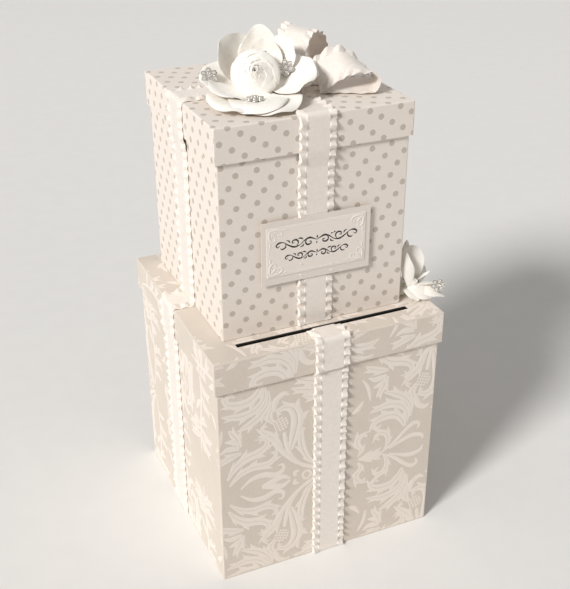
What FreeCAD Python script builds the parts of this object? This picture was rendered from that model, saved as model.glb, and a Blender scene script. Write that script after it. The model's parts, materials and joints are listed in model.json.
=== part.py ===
import FreeCAD, Part
import math
import os

# A two-tier wedding card box. Two square chipboard boxes are covered with printed paper.
# Cards go in through a slot in the lower lid, in front of the upper box, which is glued on that lid.
# The lid lifts off with the upper box, its ribbons, tag and flowers.
# Millimetres. X runs along the front to the right, Y to the back, Z up.
# The origin is the middle of the lower box's underside.

# Boards, paper, tape and glue
BOARD = 2.0  # chipboard thickness
PAPER = 0.3  # covering paper thickness
EDGE_ROUND = 1.2  # crushed outer edges of the boards
MOST_ROUND = 0.8  # largest rounding as a share of the board
TURN_IN = 15.0  # paper folded over an edge to the inside
TAPE_LEG = 14.0  # gummed tape, each way from an inside corner
GLUE = 0.5  # glue film under the upper box
GLUE_DOT = 24.0  # glue dot diameter
SLIP = 0.4  # room between a lid and the box that it covers, each side
CLEAR = 0.3  # room between loose neighbours

# Lower box and its lid
BASE_WIDTH = 248.0
BASE_HEIGHT = 270.0
BASE_RIM = 35.0
LEDGE = 28.0  # lid left uncovered on each side of an upper box that stood in the middle
SLOT_LENGTH = 190.0
SLOT_WIDTH = 6.4
SLOT_GAP = 8.9  # slot to the upper box's front
SLOT_SHIFT = 1.3  # slot to the right of the middle

# Upper box and its lid
UPPER_HEIGHT = 215.5
UPPER_RIM = 34.5
UPPER_SHIFT_X = -4.1
UPPER_SHIFT_Y = 9.6

# Ruffled ribbon: a flat middle between two gathered edges
RIBBON_WIDTH = 38.0
RIBBON = 0.5  # flat middle's thickness
RUFFLE_WIDTH = 7.5
RUFFLE = 2.4  # height of a gathered edge
BRIDGE = 16.0  # drop over which the upper ribbon closes in from the rim to the wall
HOP_RUN = 8.0  # length over which one ribbon climbs over the other
LOWER_RIBBON_X = -1.2  # middle of the lower front and back ribbons
LOWER_RIBBON_Y = 10.0  # middle of the lower side ribbons

# Bow loops, with the pinched end measured from the middle of the upper lid
SIDE_LOOP_X = 28.0
SIDE_LOOP_Y = -42.0
SIDE_LOOP_TURN = -22.0
SIDE_LOOP_ROLL = 15.0  # far edge raised, about the near edge
SIDE_LOOP_LENGTH = 60.0
SIDE_LOOP_HEIGHT = 26.0
BACK_LOOP_X = 9.0
BACK_LOOP_Y = -9.0
BACK_LOOP_TURN = 43.0
BACK_LOOP_ROLL = 0.0
BACK_LOOP_LENGTH = 68.0
BACK_LOOP_HEIGHT = 44.0

# Rose, with its hub measured from the middle of the upper lid
PETAL = 0.6  # petal thickness
SKEW = 1.3  # lift of one edge of a petal over its neighbour
FLAT_CUP = 0.01  # hollow of a flat petal as a share of its half width
TIGHT_BEND = 1.1  # tightest bend across a petal, in half widths
PEG_RADIUS = 3.0  # stem that the petals are threaded on
CALYX_TAPER = 0.6  # calyx's foot as a share of its top
ROSE_X = -31.4
ROSE_Y = -36.8
ROSE_RISE = 13.0  # hub over the lid
ROSE_TURN = -23.7
ROSE_TILT = 14.0
CALYX_RADIUS = 11.0
CALYX_DROP = 4.6  # calyx's top below the hub

# Petal outlines, from hub to tip: distance from the stem, height over the hub, half width
BUD = ((6.0, 5.4), (10.0, 10.5), (4.0, 17.0))
INNER = ((3.6, 3.6, 2.0), (12.0, 4.8, 9.5), (16.0, 10.0, 12.5), (15.5, 15.5, 11.0), (11.5, 19.5, 5.0))
MIDDLE = ((3.6, 1.8, 2.0), (16.0, 2.0, 11.0), (25.0, 7.5, 17.0), (27.5, 14.0, 16.0), (25.5, 20.0, 7.0))
OPEN = ((3.6, 0.0, 1.8), (22.0, -0.2, 13.0), (38.0, 7.0, 23.0), (49.0, 13.5, 20.0), (54.0, 17.0, 9.0))
RAISED = ((3.6, 0.0, 1.6), (25.0, 0.4, 10.0), (36.5, 14.5, 19.0), (41.0, 29.5, 17.0), (43.0, 39.5, 8.0))
UNDER = ((3.6, -1.8, 1.8), (24.0, -3.0, 13.0), (42.0, 3.5, 24.0), (53.0, 8.0, 20.0), (59.0, 10.0, 9.0))
RAISED_UNDER = ((3.6, -1.8, 1.6), (25.0, -4.0, 9.0), (42.0, 3.0, 18.0), (51.0, 10.0, 16.0),
                (56.0, 15.0, 8.0))
INNER_TURNS = (20.0, 110.0, 200.0, 290.0)
MIDDLE_TURNS = (54.0, 126.0, 198.0, 270.0, 342.0)
OPEN_TURNS = (-6.0, 210.0, 270.0)
RAISED_TURNS = (88.0, 137.0)
UNDER_TURNS = (32.0, 168.0, 238.0, 312.0)
RAISED_UNDER_TURNS = (110.0,)

# Jewelled clusters: a ring of cups round a middle one
CUP_RADIUS = 2.4
CUP_HEIGHT = 1.6
STONE_RADIUS = 2.0
RING_STONES = 6
LEFT_JEWEL = 47.0  # cluster's distance from the stem, along its petal
LEFT_JEWEL_ASIDE = 1.0  # cluster's distance from its petal's middle line
FRONT_JEWEL = 36.5
RIGHT_JEWEL = 36.0
RIGHT_JEWEL_ASIDE = 5.0
SIDE_JEWEL = 24.0

# Side flower on the lid's right ledge, with its hub measured from the upper box's front right corner
SIDE_X = 13.0
SIDE_Y = 12.0
SIDE_RISE = 12.0
SIDE_TURN = -24.0
SIDE_TILT = 48.0
SIDE_CALYX_RADIUS = 7.0
SIDE_CALYX_DROP = 2.0
SIDE_BUD = ((3.5, 4.6), (6.0, 9.0), (2.5, 14.0))
SIDE_INNER = ((3.6, 1.9, 2.0), (9.0, 3.6, 6.5), (12.5, 8.0, 8.5), (13.5, 13.0, 8.0), (12.5, 18.0, 4.0))
SIDE_CUPPED = ((3.6, 0.0, 1.8), (13.0, 1.0, 7.5), (21.0, 10.0, 13.0), (26.5, 22.0, 12.0), (29.5, 32.0, 5.0))
SIDE_OPEN = ((3.6, 0.0, 1.8), (14.0, 0.8, 7.0), (25.0, 7.5, 13.0), (34.0, 16.0, 12.0), (38.0, 22.0, 5.0))
SIDE_INNER_TURNS = (0.0, 90.0, 180.0, 270.0)
SIDE_CUPPED_TURNS = (-6.0, 124.0, 182.0)
SIDE_OPEN_TURNS = (-72.0, 59.0)

# Name tag on the upper box's front
TAG_WIDTH = 116.0
TAG_HEIGHT = 66.0
TAG_MIDDLE = 86.5  # height of its middle over the lower lid
TAG_CARD = 0.6
TAG_MARGIN_SIDE = 5.5
TAG_MARGIN_TOP = 6.0
TAG_MARGIN_BOTTOM = 8.5
TAG_PAD = 3.0  # foam pad thickness
TAG_PAD_SIZE = 12.0
TAG_PAD_INSET = 6.0
ORNAMENT = 0.4  # embossed corner height
ORNAMENT_INSET = 8.0
ORNAMENT_LOBE = 3.2
ORNAMENT_LOBES = 4
ORNAMENT_SPREAD = 1.2  # lobes off the middle, in lobe radii

# Sizes that follow
LID_WALL = SLIP + PAPER + BOARD + PAPER
BASE_LID_WIDTH = BASE_WIDTH + 2 * LID_WALL
LID_TOP = BASE_HEIGHT + BOARD + PAPER
UPPER_WIDTH = BASE_LID_WIDTH - 2 * LEDGE
UPPER_LID_WIDTH = UPPER_WIDTH + 2 * LID_WALL
UPPER_BOTTOM = LID_TOP + GLUE
UPPER_TOP = UPPER_BOTTOM + UPPER_HEIGHT
TOP = UPPER_TOP + BOARD + PAPER
BASE_RIM_LOW = LID_TOP - BASE_RIM
UPPER_RIM_LOW = TOP - UPPER_RIM
UPPER_FRONT = UPPER_SHIFT_Y - UPPER_WIDTH / 2
UPPER_RIGHT = UPPER_SHIFT_X + UPPER_WIDTH / 2
SLOT_BACK = UPPER_FRONT - SLOT_GAP
ROUND = min(EDGE_ROUND, MOST_ROUND * BOARD)

V = FreeCAD.Vector
UP = V(0, 0, 1)
LOWER_MIDDLE = V(0, 0, 0)
UPPER_MIDDLE = V(UPPER_SHIFT_X, UPPER_SHIFT_Y, 0)
FRONT = V(0, -1, 0)
BACK = V(0, 1, 0)
LEFT = V(-1, 0, 0)
RIGHT = V(1, 0, 0)


# Blocks and shells

def slab(middle, x0, x1, y0, y1, low, high):
    """A block between two corners that are measured from an upright middle line."""
    return Part.makeBox(x1 - x0, y1 - y0, high - low, V(middle.x + x0, middle.y + y0, low))


def square(middle, width, low, high):
    """A square block round an upright middle line."""
    half = width / 2
    return slab(middle, -half, half, -half, half, low, high)


def rounded(middle, width, low, high, radius, round_top):
    """A square block with rounded upright edges and, on a lid, a rounded top edge."""
    block = square(middle, width, low, high)
    edges = []
    for edge in block.Edges:
        heights = [vertex.Z for vertex in edge.Vertexes]
        upright = heights[0] != heights[1]
        on_top = round_top and min(heights) > (low + high) / 2
        if upright or on_top:
            edges.append(edge)
    return block.makeFillet(radius, edges)


def walls(middle, width, low, high, envelope):
    """Four wall boards: front and back full width, left and right between them."""
    half = width / 2
    inner = half - BOARD
    boards = {
        "front": slab(middle, -half, half, -half, -inner, low, high),
        "back": slab(middle, -half, half, inner, half, low, high),
        "left": slab(middle, -half, -inner, -inner, inner, low, high),
        "right": slab(middle, inner, half, -inner, inner, low, high),
    }
    return {side: board.common(envelope) for side, board in boards.items()}


def tray(nodes, name, middle, width, bottom, top):
    """An open box: boards, corner tapes, bottom paper and the covering paper turned in at the top."""
    board_width = width - 2 * PAPER
    inside = board_width - 2 * BOARD
    lining = inside - 2 * PAPER
    low = bottom + PAPER
    high = top - PAPER
    core = rounded(middle, board_width, low, high, ROUND, False)
    for side, board in walls(middle, board_width, low, high, core).items():
        nodes[name + "_" + side + "_board"] = board
    nodes[name + "_floor_board"] = square(middle, inside, low, low + BOARD)
    nodes[name + "_bottom_paper"] = rounded(middle, width, bottom, low, ROUND + PAPER, False)

    cover = rounded(middle, width, low, top, ROUND + PAPER, False)
    cover = cover.cut(core).cut(square(middle, lining, low, top))
    turned = square(middle, inside, top - TURN_IN, top)
    turned = turned.cut(square(middle, lining, top - TURN_IN, top))
    nodes[name + "_wrap_paper"] = cover.fuse(turned).removeSplitter()

    tape_top = top - TURN_IN - CLEAR
    tape_low = low + BOARD
    tapes = []
    for across in (-1, 1):
        for along in (-1, 1):
            corner = middle + V(across * inside / 2, along * inside / 2, 0)
            reach = V(-across, -along, 0)
            outer = corner_block(corner, reach, TAPE_LEG, tape_low, tape_top)
            inner = corner_block(corner + reach * PAPER, reach, TAPE_LEG, tape_low, tape_top)
            tapes.append(outer.cut(inner))
    nodes[name + "_corner_tapes"] = Part.makeCompound(tapes)


def corner_block(corner, reach, leg, low, high):
    """An upright square block that reaches from a corner towards the inside."""
    x0, x1 = sorted((corner.x, corner.x + reach.x * leg))
    y0, y1 = sorted((corner.y, corner.y + reach.y * leg))
    return slab(LOWER_MIDDLE, x0, x1, y0, y1, low, high)


def lid(nodes, name, middle, width, rim_low, top, slot):
    """A lift-off lid: top board, four rim boards and the covering paper turned in under the rim."""
    board_width = width - 2 * PAPER
    inside = board_width - 2 * BOARD
    lining = inside - 2 * PAPER
    low = rim_low + PAPER
    high = top - PAPER
    under = high - BOARD
    core = rounded(middle, board_width, low, high, ROUND, True)
    board = square(middle, board_width, under, high).common(core)
    for side, rim in walls(middle, board_width, low, under, core).items():
        nodes[name + "_" + side + "_rim"] = rim

    cover = rounded(middle, width, rim_low, top, ROUND + PAPER, True)
    cover = cover.cut(core).cut(square(middle, lining, rim_low, low))
    turn_top = min(rim_low + TURN_IN, under)
    turned = square(middle, inside, rim_low, turn_top)
    turned = turned.cut(square(middle, lining, rim_low, turn_top))
    cover = cover.fuse(turned)
    if slot:
        board = board.cut(slot)
        cover = cover.cut(slot)
    nodes[name + "_top_board"] = board
    nodes[name + "_wrap_paper"] = cover.removeSplitter()


# Ribbons

def thickened(path, thickness):
    """The closed outline of a strip that lies on the left of a path of (along, height) points."""
    normals = []
    for (s0, z0), (s1, z1) in zip(path, path[1:]):
        length = math.hypot(s1 - s0, z1 - z0)
        normals.append(((z0 - z1) / length, (s1 - s0) / length))
    raised = []
    for index, (s, z) in enumerate(path):
        before = normals[max(index - 1, 0)]
        after = normals[min(index, len(normals) - 1)]
        spread = 1 + before[0] * after[0] + before[1] * after[1]
        raised.append((s + thickness * (before[0] + after[0]) / spread,
                       z + thickness * (before[1] + after[1]) / spread))
    return list(path) + raised[::-1]


def strip(middle, facing, path, thickness, start, stop):
    """A strip along a path in the upright plane of a facing, from start to stop across that plane."""
    across = UP.cross(facing)
    points = [middle + facing * s + UP * z + across * start for s, z in thickened(path, thickness)]
    face = Part.Face(Part.makePolygon(points + points[:1]))
    return face.extrude(across * (stop - start))


def ribbon(middle, facing, path):
    """A length of ruffled ribbon: the flat middle and its two gathered edges."""
    half = RIBBON_WIDTH / 2
    flat = half - RUFFLE_WIDTH
    length = strip(middle, facing, path, RIBBON, -flat, flat)
    for start, stop in ((-half, -flat), (flat, half)):
        length = length.fuse(strip(middle, facing, path, RUFFLE, start, stop))
    return length.removeSplitter()


def base_ribbons(nodes):
    """A ribbon up each wall of the lower box, ending under the lid's rim."""
    half = BASE_WIDTH / 2
    path = ((half, PAPER), (half, BASE_RIM_LOW - CLEAR))
    for side, facing in (("front", FRONT), ("back", BACK), ("left", LEFT), ("right", RIGHT)):
        nodes["base_" + side + "_ribbon"] = ribbon(ribbon_line(facing), facing, path[::-1])


def ribbon_line(facing):
    """The upright line that the lower ribbons on one side are centred on."""
    return V(LOWER_RIBBON_X, 0, 0) if facing.x == 0 else V(0, LOWER_RIBBON_Y, 0)


def lid_ribbons(nodes):
    """A short ribbon on each side of the lower lid, from the upper box or the slot down the rim."""
    edge = BASE_LID_WIDTH / 2
    clear = RUFFLE + CLEAR
    starts = {
        "front": (FRONT, SLOT_WIDTH - SLOT_BACK + CLEAR),
        "back": (BACK, UPPER_SHIFT_Y + UPPER_WIDTH / 2 + clear),
        "left": (LEFT, UPPER_WIDTH / 2 - UPPER_SHIFT_X + clear),
        "right": (RIGHT, UPPER_RIGHT + clear),
    }
    for side, (facing, start) in starts.items():
        path = ((start, LID_TOP), (edge, LID_TOP), (edge, BASE_RIM_LOW))
        nodes["slot_lid_" + side + "_ribbon"] = ribbon(ribbon_line(facing), facing, path)


def upper_ribbons(nodes):
    """Two ribbons over the upper box, from foot to foot, the second hopping over the first on top."""
    lid_half = UPPER_LID_WIDTH / 2
    wall_half = UPPER_WIDTH / 2
    foot = LID_TOP + CLEAR
    closed_in = UPPER_RIM_LOW - BRIDGE
    down = ((lid_half, TOP), (lid_half, UPPER_RIM_LOW), (wall_half, closed_in), (wall_half, foot))
    crossing = RIBBON_WIDTH / 2 + CLEAR
    hop = TOP + RUFFLE + CLEAR
    climb = ((crossing, hop), (crossing + HOP_RUN, TOP))
    nodes["upper_front_to_back_ribbon"] = ribbon(UPPER_MIDDLE, FRONT, mirrored(down))
    nodes["upper_side_to_side_ribbon"] = ribbon(UPPER_MIDDLE, RIGHT, mirrored(climb + down))


def mirrored(half_path):
    """A half path and its mirror image, joined at the middle."""
    return [(-s, z) for s, z in half_path[::-1]] + list(half_path)


def bow_loop(x, y, rest, turn, roll, length, height):
    """A loop of ribbon on its edge: pinched at one end, round at the other, flat below."""
    tip = height / 2
    outer = loop_wire(length, tip, 0)
    inner = loop_wire(length, tip, RIBBON)
    band = Part.Face(outer).cut(Part.Face(inner))
    band = band.extrude(V(0, RIBBON_WIDTH, 0)).Solids[0]
    band.rotate(V(0, 0, 0), V(1, 0, 0), roll)
    band.translate(V(0, -RIBBON_WIDTH / 2, 0))
    band.rotate(V(0, 0, 0), UP, turn)
    band.translate(UPPER_MIDDLE + V(x, y, rest))
    return band


def loop_wire(length, tip, inset):
    """The loop's outline in its upright plane, drawn in by the ribbon's thickness for the inside."""
    middle_x = length - tip
    slope = 2 * math.atan2(tip, middle_x)
    radius = tip - inset
    foot = inset / math.tan(slope / 2)
    start = V(foot, 0, inset)
    low = V(middle_x, 0, inset)
    end = V(length - inset, 0, tip)
    high = V(middle_x - radius * math.sin(slope), 0, tip + radius * math.cos(slope))
    edges = [Part.makeLine(start, low), Part.Arc(low, end, high).toShape(), Part.makeLine(high, start)]
    return Part.Wire(edges)


# Flowers

def petal(outline, turn):
    """A petal as a loft through crescents that lie square to its outline, from hub to tip."""
    widest = max(half for _, _, half in outline)
    sections = []
    for index, (radius, height, half) in enumerate(outline):
        inward = petal_normal(outline, index)
        across = V(0, half, 0)
        middle = V(radius, 0, height)
        cup = inward * cup_depth(radius, half, inward)
        lift = inward * (SKEW * half / widest)
        skin = inward * (PETAL / 2)
        left, right = middle - across + cup - lift, middle + across + cup + lift
        upper = Part.Arc(left + skin, middle + skin, right + skin).toShape()
        lower = Part.Arc(right - skin, middle - skin, left - skin).toShape()
        ends = [Part.makeLine(right + skin, right - skin), Part.makeLine(left - skin, left + skin)]
        sections.append(Part.Wire([upper, ends[0], lower, ends[1]]))
    shape = Part.makeLoft(sections, True)
    shape.rotate(V(0, 0, 0), UP, turn)
    return shape


def petal_normal(outline, index):
    """The direction square to an outline at one of its points, on the flower's inner side."""
    before = outline[max(index - 1, 0)]
    after = outline[min(index + 1, len(outline) - 1)]
    return V(before[1] - after[1], 0, after[0] - before[0]).normalize()


def cup_depth(radius, half, inward):
    """How far a petal's edges stand over its middle where it bends round the stem."""
    if inward.x > -FLAT_CUP:
        return FLAT_CUP * half
    bend = max(-radius / inward.x, TIGHT_BEND * half)
    return bend - math.sqrt(bend * bend - half * half)


def petals(outline, turns):
    """The petals of one outline, turned round the stem."""
    return [petal(outline, turn) for turn in turns]


def bud(profile):
    """A closed bud, turned on the stem's axis."""
    (foot, low), (belly, middle), (crown, high) = profile
    arc = Part.Arc(V(foot, 0, low), V(belly, 0, middle), V(crown, 0, high)).toShape()
    lines = Part.makePolygon([V(crown, 0, high), V(0, 0, high), V(0, 0, low), V(foot, 0, low)])
    face = Part.Face(Part.Wire([arc] + lines.Edges))
    return face.revolve(V(0, 0, 0), UP, 360)


def seated(hub, turn, tilt_axis, tilt):
    """The place of a flower that is turned about the upright and then leant over."""
    lean = FreeCAD.Rotation(UP, turn).multiply(FreeCAD.Rotation(tilt_axis, tilt))
    return FreeCAD.Placement(hub, lean)


def placed(shapes, place):
    """Shapes of a flower, put where the flower is, as one group."""
    moved = []
    for shape in shapes:
        moved.append(shape.transformed(place.toMatrix()))
    return moved[0] if len(moved) == 1 else Part.makeCompound(moved)


def calyx(radius, drop, top, reach, place, surroundings):
    """The foot that a flower is glued down by, with the peg that its petals are threaded on."""
    peg = Part.makeCylinder(PEG_RADIUS, top + drop, V(0, 0, -drop))
    foot = Part.makeCone(CALYX_TAPER * radius, radius, reach, V(0, 0, -drop - reach))
    shape = foot.fuse(peg).removeSplitter().transformed(place.toMatrix())
    return shape.cut(surroundings)


def cluster(outline, radius, turn, aside):
    """A jewelled cluster on a petal's inner face: its cups as one setting, and its stones."""
    height, half, inward = outline_at(outline, radius)
    share = aside / half
    depth = cup_depth(radius, half, inward) * share * share + SKEW * share
    reach = 2 * STONE_RADIUS + CLEAR + CUP_RADIUS
    sag = reach * reach / (2 * radius)
    seat = V(radius, aside, height) + inward * (depth + PETAL / 2 + sag + CLEAR)
    place = FreeCAD.Placement(seat, FreeCAD.Rotation(UP, inward))
    spin = FreeCAD.Placement(V(0, 0, 0), FreeCAD.Rotation(UP, turn))
    spots = [V(0, 0, 0)]
    for index in range(RING_STONES):
        angle = 2 * math.pi * index / RING_STONES
        spots.append(V(math.cos(angle), math.sin(angle), 0) * (2 * STONE_RADIUS + CLEAR))
    cups = [Part.makeCylinder(CUP_RADIUS, CUP_HEIGHT, spot) for spot in spots]
    setting = cups[0].multiFuse(cups[1:]).removeSplitter()
    stones = []
    for spot in spots:
        dome = Part.makeSphere(STONE_RADIUS, spot + UP * CUP_HEIGHT, UP, 0, 90, 360)
        stones.append(dome)
    whole = spin.multiply(place).toMatrix()
    return setting.transformed(whole), [stone.transformed(whole) for stone in stones]


def outline_at(outline, radius):
    """A petal's height, half width and inward direction at a distance from the stem."""
    for before, after in zip(outline, outline[1:]):
        if before[0] <= radius <= after[0]:
            share = (radius - before[0]) / (after[0] - before[0])
            height = before[1] + share * (after[1] - before[1])
            half = before[2] + share * (after[2] - before[2])
            return height, half, V(before[1] - after[1], 0, after[0] - before[0]).normalize()


def rose(nodes):
    """The large rose on the upper lid, leant towards the front left, with three jewelled clusters."""
    hub = UPPER_MIDDLE + V(ROSE_X, ROSE_Y, TOP + ROSE_RISE)
    place = seated(hub, ROSE_TURN, V(1, 0, 0), ROSE_TILT)
    upper_lid = square(UPPER_MIDDLE, UPPER_LID_WIDTH, UPPER_BOTTOM, TOP)
    nodes["rose_calyx"] = calyx(CALYX_RADIUS, CALYX_DROP, BUD[0][1], ROSE_RISE, place, upper_lid)
    nodes["rose_bud"] = placed([bud(BUD)], place)
    nodes["rose_inner_petals"] = placed(petals(INNER, INNER_TURNS), place)
    nodes["rose_middle_petals"] = placed(petals(MIDDLE, MIDDLE_TURNS), place)
    outer = petals(OPEN, OPEN_TURNS) + petals(RAISED, RAISED_TURNS)
    nodes["rose_outer_petals"] = placed(outer, place)
    under = petals(UNDER, UNDER_TURNS) + petals(RAISED_UNDER, RAISED_UNDER_TURNS)
    nodes["rose_under_petals"] = placed(under, place)
    clusters = [
        cluster(UNDER, LEFT_JEWEL, UNDER_TURNS[1], LEFT_JEWEL_ASIDE),
        cluster(OPEN, FRONT_JEWEL, OPEN_TURNS[2], 0),
        cluster(UNDER, RIGHT_JEWEL, UNDER_TURNS[0], RIGHT_JEWEL_ASIDE),
    ]
    nodes["rose_jewel_settings"] = placed([setting for setting, _ in clusters], place)
    nodes["rose_jewel_stones"] = placed([stone for _, stones in clusters for stone in stones], place)


def side_flower(nodes):
    """The smaller flower on the right ledge of the lower lid, facing right, with one jewelled cluster."""
    hub = V(UPPER_RIGHT + SIDE_X, UPPER_FRONT + SIDE_Y, LID_TOP + SIDE_RISE)
    place = seated(hub, SIDE_TURN, V(0, 1, 0), SIDE_TILT)
    lid_top = square(LOWER_MIDDLE, BASE_LID_WIDTH, 0, LID_TOP)
    wall = square(UPPER_MIDDLE, UPPER_WIDTH + 2 * CLEAR, 0, UPPER_TOP)
    seat = lid_top.fuse(wall)
    reach = 2 * SIDE_RISE
    nodes["side_flower_calyx"] = calyx(SIDE_CALYX_RADIUS, SIDE_CALYX_DROP, SIDE_BUD[0][1], reach, place, seat)
    nodes["side_flower_bud"] = placed([bud(SIDE_BUD)], place)
    nodes["side_flower_inner_petals"] = placed(petals(SIDE_INNER, SIDE_INNER_TURNS), place)
    outer = petals(SIDE_CUPPED, SIDE_CUPPED_TURNS) + petals(SIDE_OPEN, SIDE_OPEN_TURNS)
    nodes["side_flower_outer_petals"] = placed(outer, place)
    setting, stones = cluster(SIDE_CUPPED, SIDE_JEWEL, SIDE_CUPPED_TURNS[0], 0)
    nodes["side_jewel_setting"] = placed([setting], place)
    nodes["side_jewel_stones"] = placed(stones, place)


# Name tag

def tag(nodes):
    """A two-layer card on foam pads, over the ribbon on the upper box's front."""
    low = LID_TOP + TAG_MIDDLE - TAG_HEIGHT / 2
    high = low + TAG_HEIGHT
    half = TAG_WIDTH / 2
    wall = UPPER_FRONT
    back = wall - TAG_PAD
    middle = V(UPPER_SHIFT_X, 0, 0)
    nodes["tag_backing_card"] = slab(middle, -half, half, back - TAG_CARD, back, low, high)
    face = back - TAG_CARD
    card_half = half - TAG_MARGIN_SIDE
    card_low = low + TAG_MARGIN_BOTTOM
    card_high = high - TAG_MARGIN_TOP
    nodes["tag_card"] = slab(middle, -card_half, card_half, face - TAG_CARD, face, card_low, card_high)
    pads = []
    ornaments = []
    for side in (-1, 1):
        pad_x = side * (half - TAG_PAD_INSET - TAG_PAD_SIZE / 2)
        corner_x = side * (card_half - ORNAMENT_INSET)
        for pad_z in (low + TAG_PAD_INSET, high - TAG_PAD_INSET - TAG_PAD_SIZE):
            x0 = pad_x - TAG_PAD_SIZE / 2
            pads.append(slab(middle, x0, x0 + TAG_PAD_SIZE, back, wall, pad_z, pad_z + TAG_PAD_SIZE))
        for corner_z in (card_low + ORNAMENT_INSET, card_high - ORNAMENT_INSET):
            ornaments.append(corner_ornament(middle + V(corner_x, face - TAG_CARD, corner_z)))
    nodes["tag_foam_pads"] = Part.makeCompound(pads)
    nodes["tag_corner_ornaments"] = Part.makeCompound(ornaments)


def corner_ornament(spot):
    """Embossed lobes round a corner's middle."""
    lobes = []
    for index in range(ORNAMENT_LOBES):
        angle = 2 * math.pi * (index + 0.5) / ORNAMENT_LOBES
        offset = V(math.cos(angle), 0, math.sin(angle)) * (ORNAMENT_SPREAD * ORNAMENT_LOBE)
        lobes.append(Part.makeCylinder(ORNAMENT_LOBE, ORNAMENT, spot + offset, FRONT))
    return lobes[0].multiFuse(lobes[1:]).removeSplitter()


# The whole box

def glue_dots():
    """Dots of glue that hold the upper box on the lid: one in the middle and one towards each corner."""
    reach = UPPER_WIDTH / 4
    spots = [(0, 0), (-reach, -reach), (reach, -reach), (-reach, reach), (reach, reach)]
    return Part.makeCompound([Part.makeCylinder(GLUE_DOT / 2, GLUE, UPPER_MIDDLE + V(x, y, LID_TOP))
                              for x, y in spots])


def card_slot():
    """The cut through the lower lid that cards are posted in."""
    half = SLOT_LENGTH / 2
    return slab(V(SLOT_SHIFT, 0, 0), -half, half, SLOT_BACK - SLOT_WIDTH, SLOT_BACK, BASE_RIM_LOW, TOP)


def build():
    """Every piece of the box, by name."""
    nodes = {}
    tray(nodes, "base", LOWER_MIDDLE, BASE_WIDTH, 0, BASE_HEIGHT)
    lid(nodes, "slot_lid", LOWER_MIDDLE, BASE_LID_WIDTH, BASE_RIM_LOW, LID_TOP, card_slot())
    tray(nodes, "upper", UPPER_MIDDLE, UPPER_WIDTH, UPPER_BOTTOM, UPPER_TOP)
    lid(nodes, "upper_lid", UPPER_MIDDLE, UPPER_LID_WIDTH, UPPER_RIM_LOW, TOP, None)
    nodes["tier_glue_dots"] = glue_dots()
    base_ribbons(nodes)
    lid_ribbons(nodes)
    upper_ribbons(nodes)
    on_lid = TOP + CLEAR
    on_crossing = TOP + 2 * RUFFLE + 2 * CLEAR
    nodes["bow_side_loop"] = bow_loop(SIDE_LOOP_X, SIDE_LOOP_Y, on_lid, SIDE_LOOP_TURN,
                                      SIDE_LOOP_ROLL, SIDE_LOOP_LENGTH, SIDE_LOOP_HEIGHT)
    nodes["bow_back_loop"] = bow_loop(BACK_LOOP_X, BACK_LOOP_Y, on_crossing, BACK_LOOP_TURN,
                                      BACK_LOOP_ROLL, BACK_LOOP_LENGTH, BACK_LOOP_HEIGHT)
    rose(nodes)
    side_flower(nodes)
    tag(nodes)
    return nodes


os.makedirs("parts", exist_ok=True)
for node, shape in build().items():
    shape.exportStep("parts/" + node + ".step")
    print(node, len(shape.Solids), round(shape.Volume, 1), shape.isValid())
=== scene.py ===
import json
import math

import bmesh
import bpy
import numpy as np
from mathutils import Matrix, Vector
from mathutils.bvhtree import BVHTree


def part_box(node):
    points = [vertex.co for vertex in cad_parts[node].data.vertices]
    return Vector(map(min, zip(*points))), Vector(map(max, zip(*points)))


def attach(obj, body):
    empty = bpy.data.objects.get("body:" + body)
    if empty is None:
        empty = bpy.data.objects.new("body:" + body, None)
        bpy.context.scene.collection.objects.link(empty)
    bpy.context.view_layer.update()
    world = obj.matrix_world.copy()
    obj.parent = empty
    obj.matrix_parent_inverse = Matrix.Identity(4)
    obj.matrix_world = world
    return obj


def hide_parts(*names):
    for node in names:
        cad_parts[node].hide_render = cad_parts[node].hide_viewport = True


# A two-tier wedding card box: damask paper below, dotted paper above, ruffled ribbon, name tag,
# rose, bow loops and side flower. Lengths are in millimetres until a mesh is made.

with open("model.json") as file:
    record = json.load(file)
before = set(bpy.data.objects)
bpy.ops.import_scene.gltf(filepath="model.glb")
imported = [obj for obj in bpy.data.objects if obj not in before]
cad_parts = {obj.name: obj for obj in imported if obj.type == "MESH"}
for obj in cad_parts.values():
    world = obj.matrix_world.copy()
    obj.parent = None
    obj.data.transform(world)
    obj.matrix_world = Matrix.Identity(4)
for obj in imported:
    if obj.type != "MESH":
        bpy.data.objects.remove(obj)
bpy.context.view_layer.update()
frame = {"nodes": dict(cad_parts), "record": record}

MM = 0.001
BOX, LID = "box", "lid"
RIGHT, AWAY, UP = np.eye(3)
SIDES = {"front": -AWAY, "back": AWAY, "left": -RIGHT, "right": RIGHT}


def corners_of(node):
    """A CAD node's lowest and highest corners in millimetres."""
    low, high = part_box(node)
    return np.array(low) / MM, np.array(high) / MM


LOWER_LOW, LOWER_HIGH = corners_of("base_wrap_paper")
RIM_LOW, RIM_HIGH = corners_of("slot_lid_wrap_paper")
TIER_LOW, TIER_HIGH = corners_of("upper_wrap_paper")
CROWN_LOW, CROWN_HIGH = corners_of("upper_lid_wrap_paper")
TOP = CROWN_HIGH[2]
TIER_MIDDLE = (TIER_LOW + TIER_HIGH) / 2 * (1, 1, 0)


# Meshes

# Degrees between two faces from which their edge shows: on most pieces, ribbon and cut stones
SMOOTH_TO, CREASE, FACETED = 42, 24, 5


def grid_faces(rows, columns, start, flip):
    """Quads between the points of a grid, facing along row direction cross column direction."""
    first = (np.arange(rows - 1)[:, None] * columns + np.arange(columns - 1)).ravel() + start
    quads = np.stack((first, first + columns, first + columns + 1, first + 1), 1)
    return quads[:, ::-1] if flip else quads


def rim_loop(rows, columns):
    """The point numbers round a grid's edge, anticlockwise as its front sees them."""
    number = np.arange(rows * columns).reshape(rows, columns)
    return np.concatenate((number[:, 0], number[-1, 1:], number[-2::-1, -1], number[0, -2:0:-1]))


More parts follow.
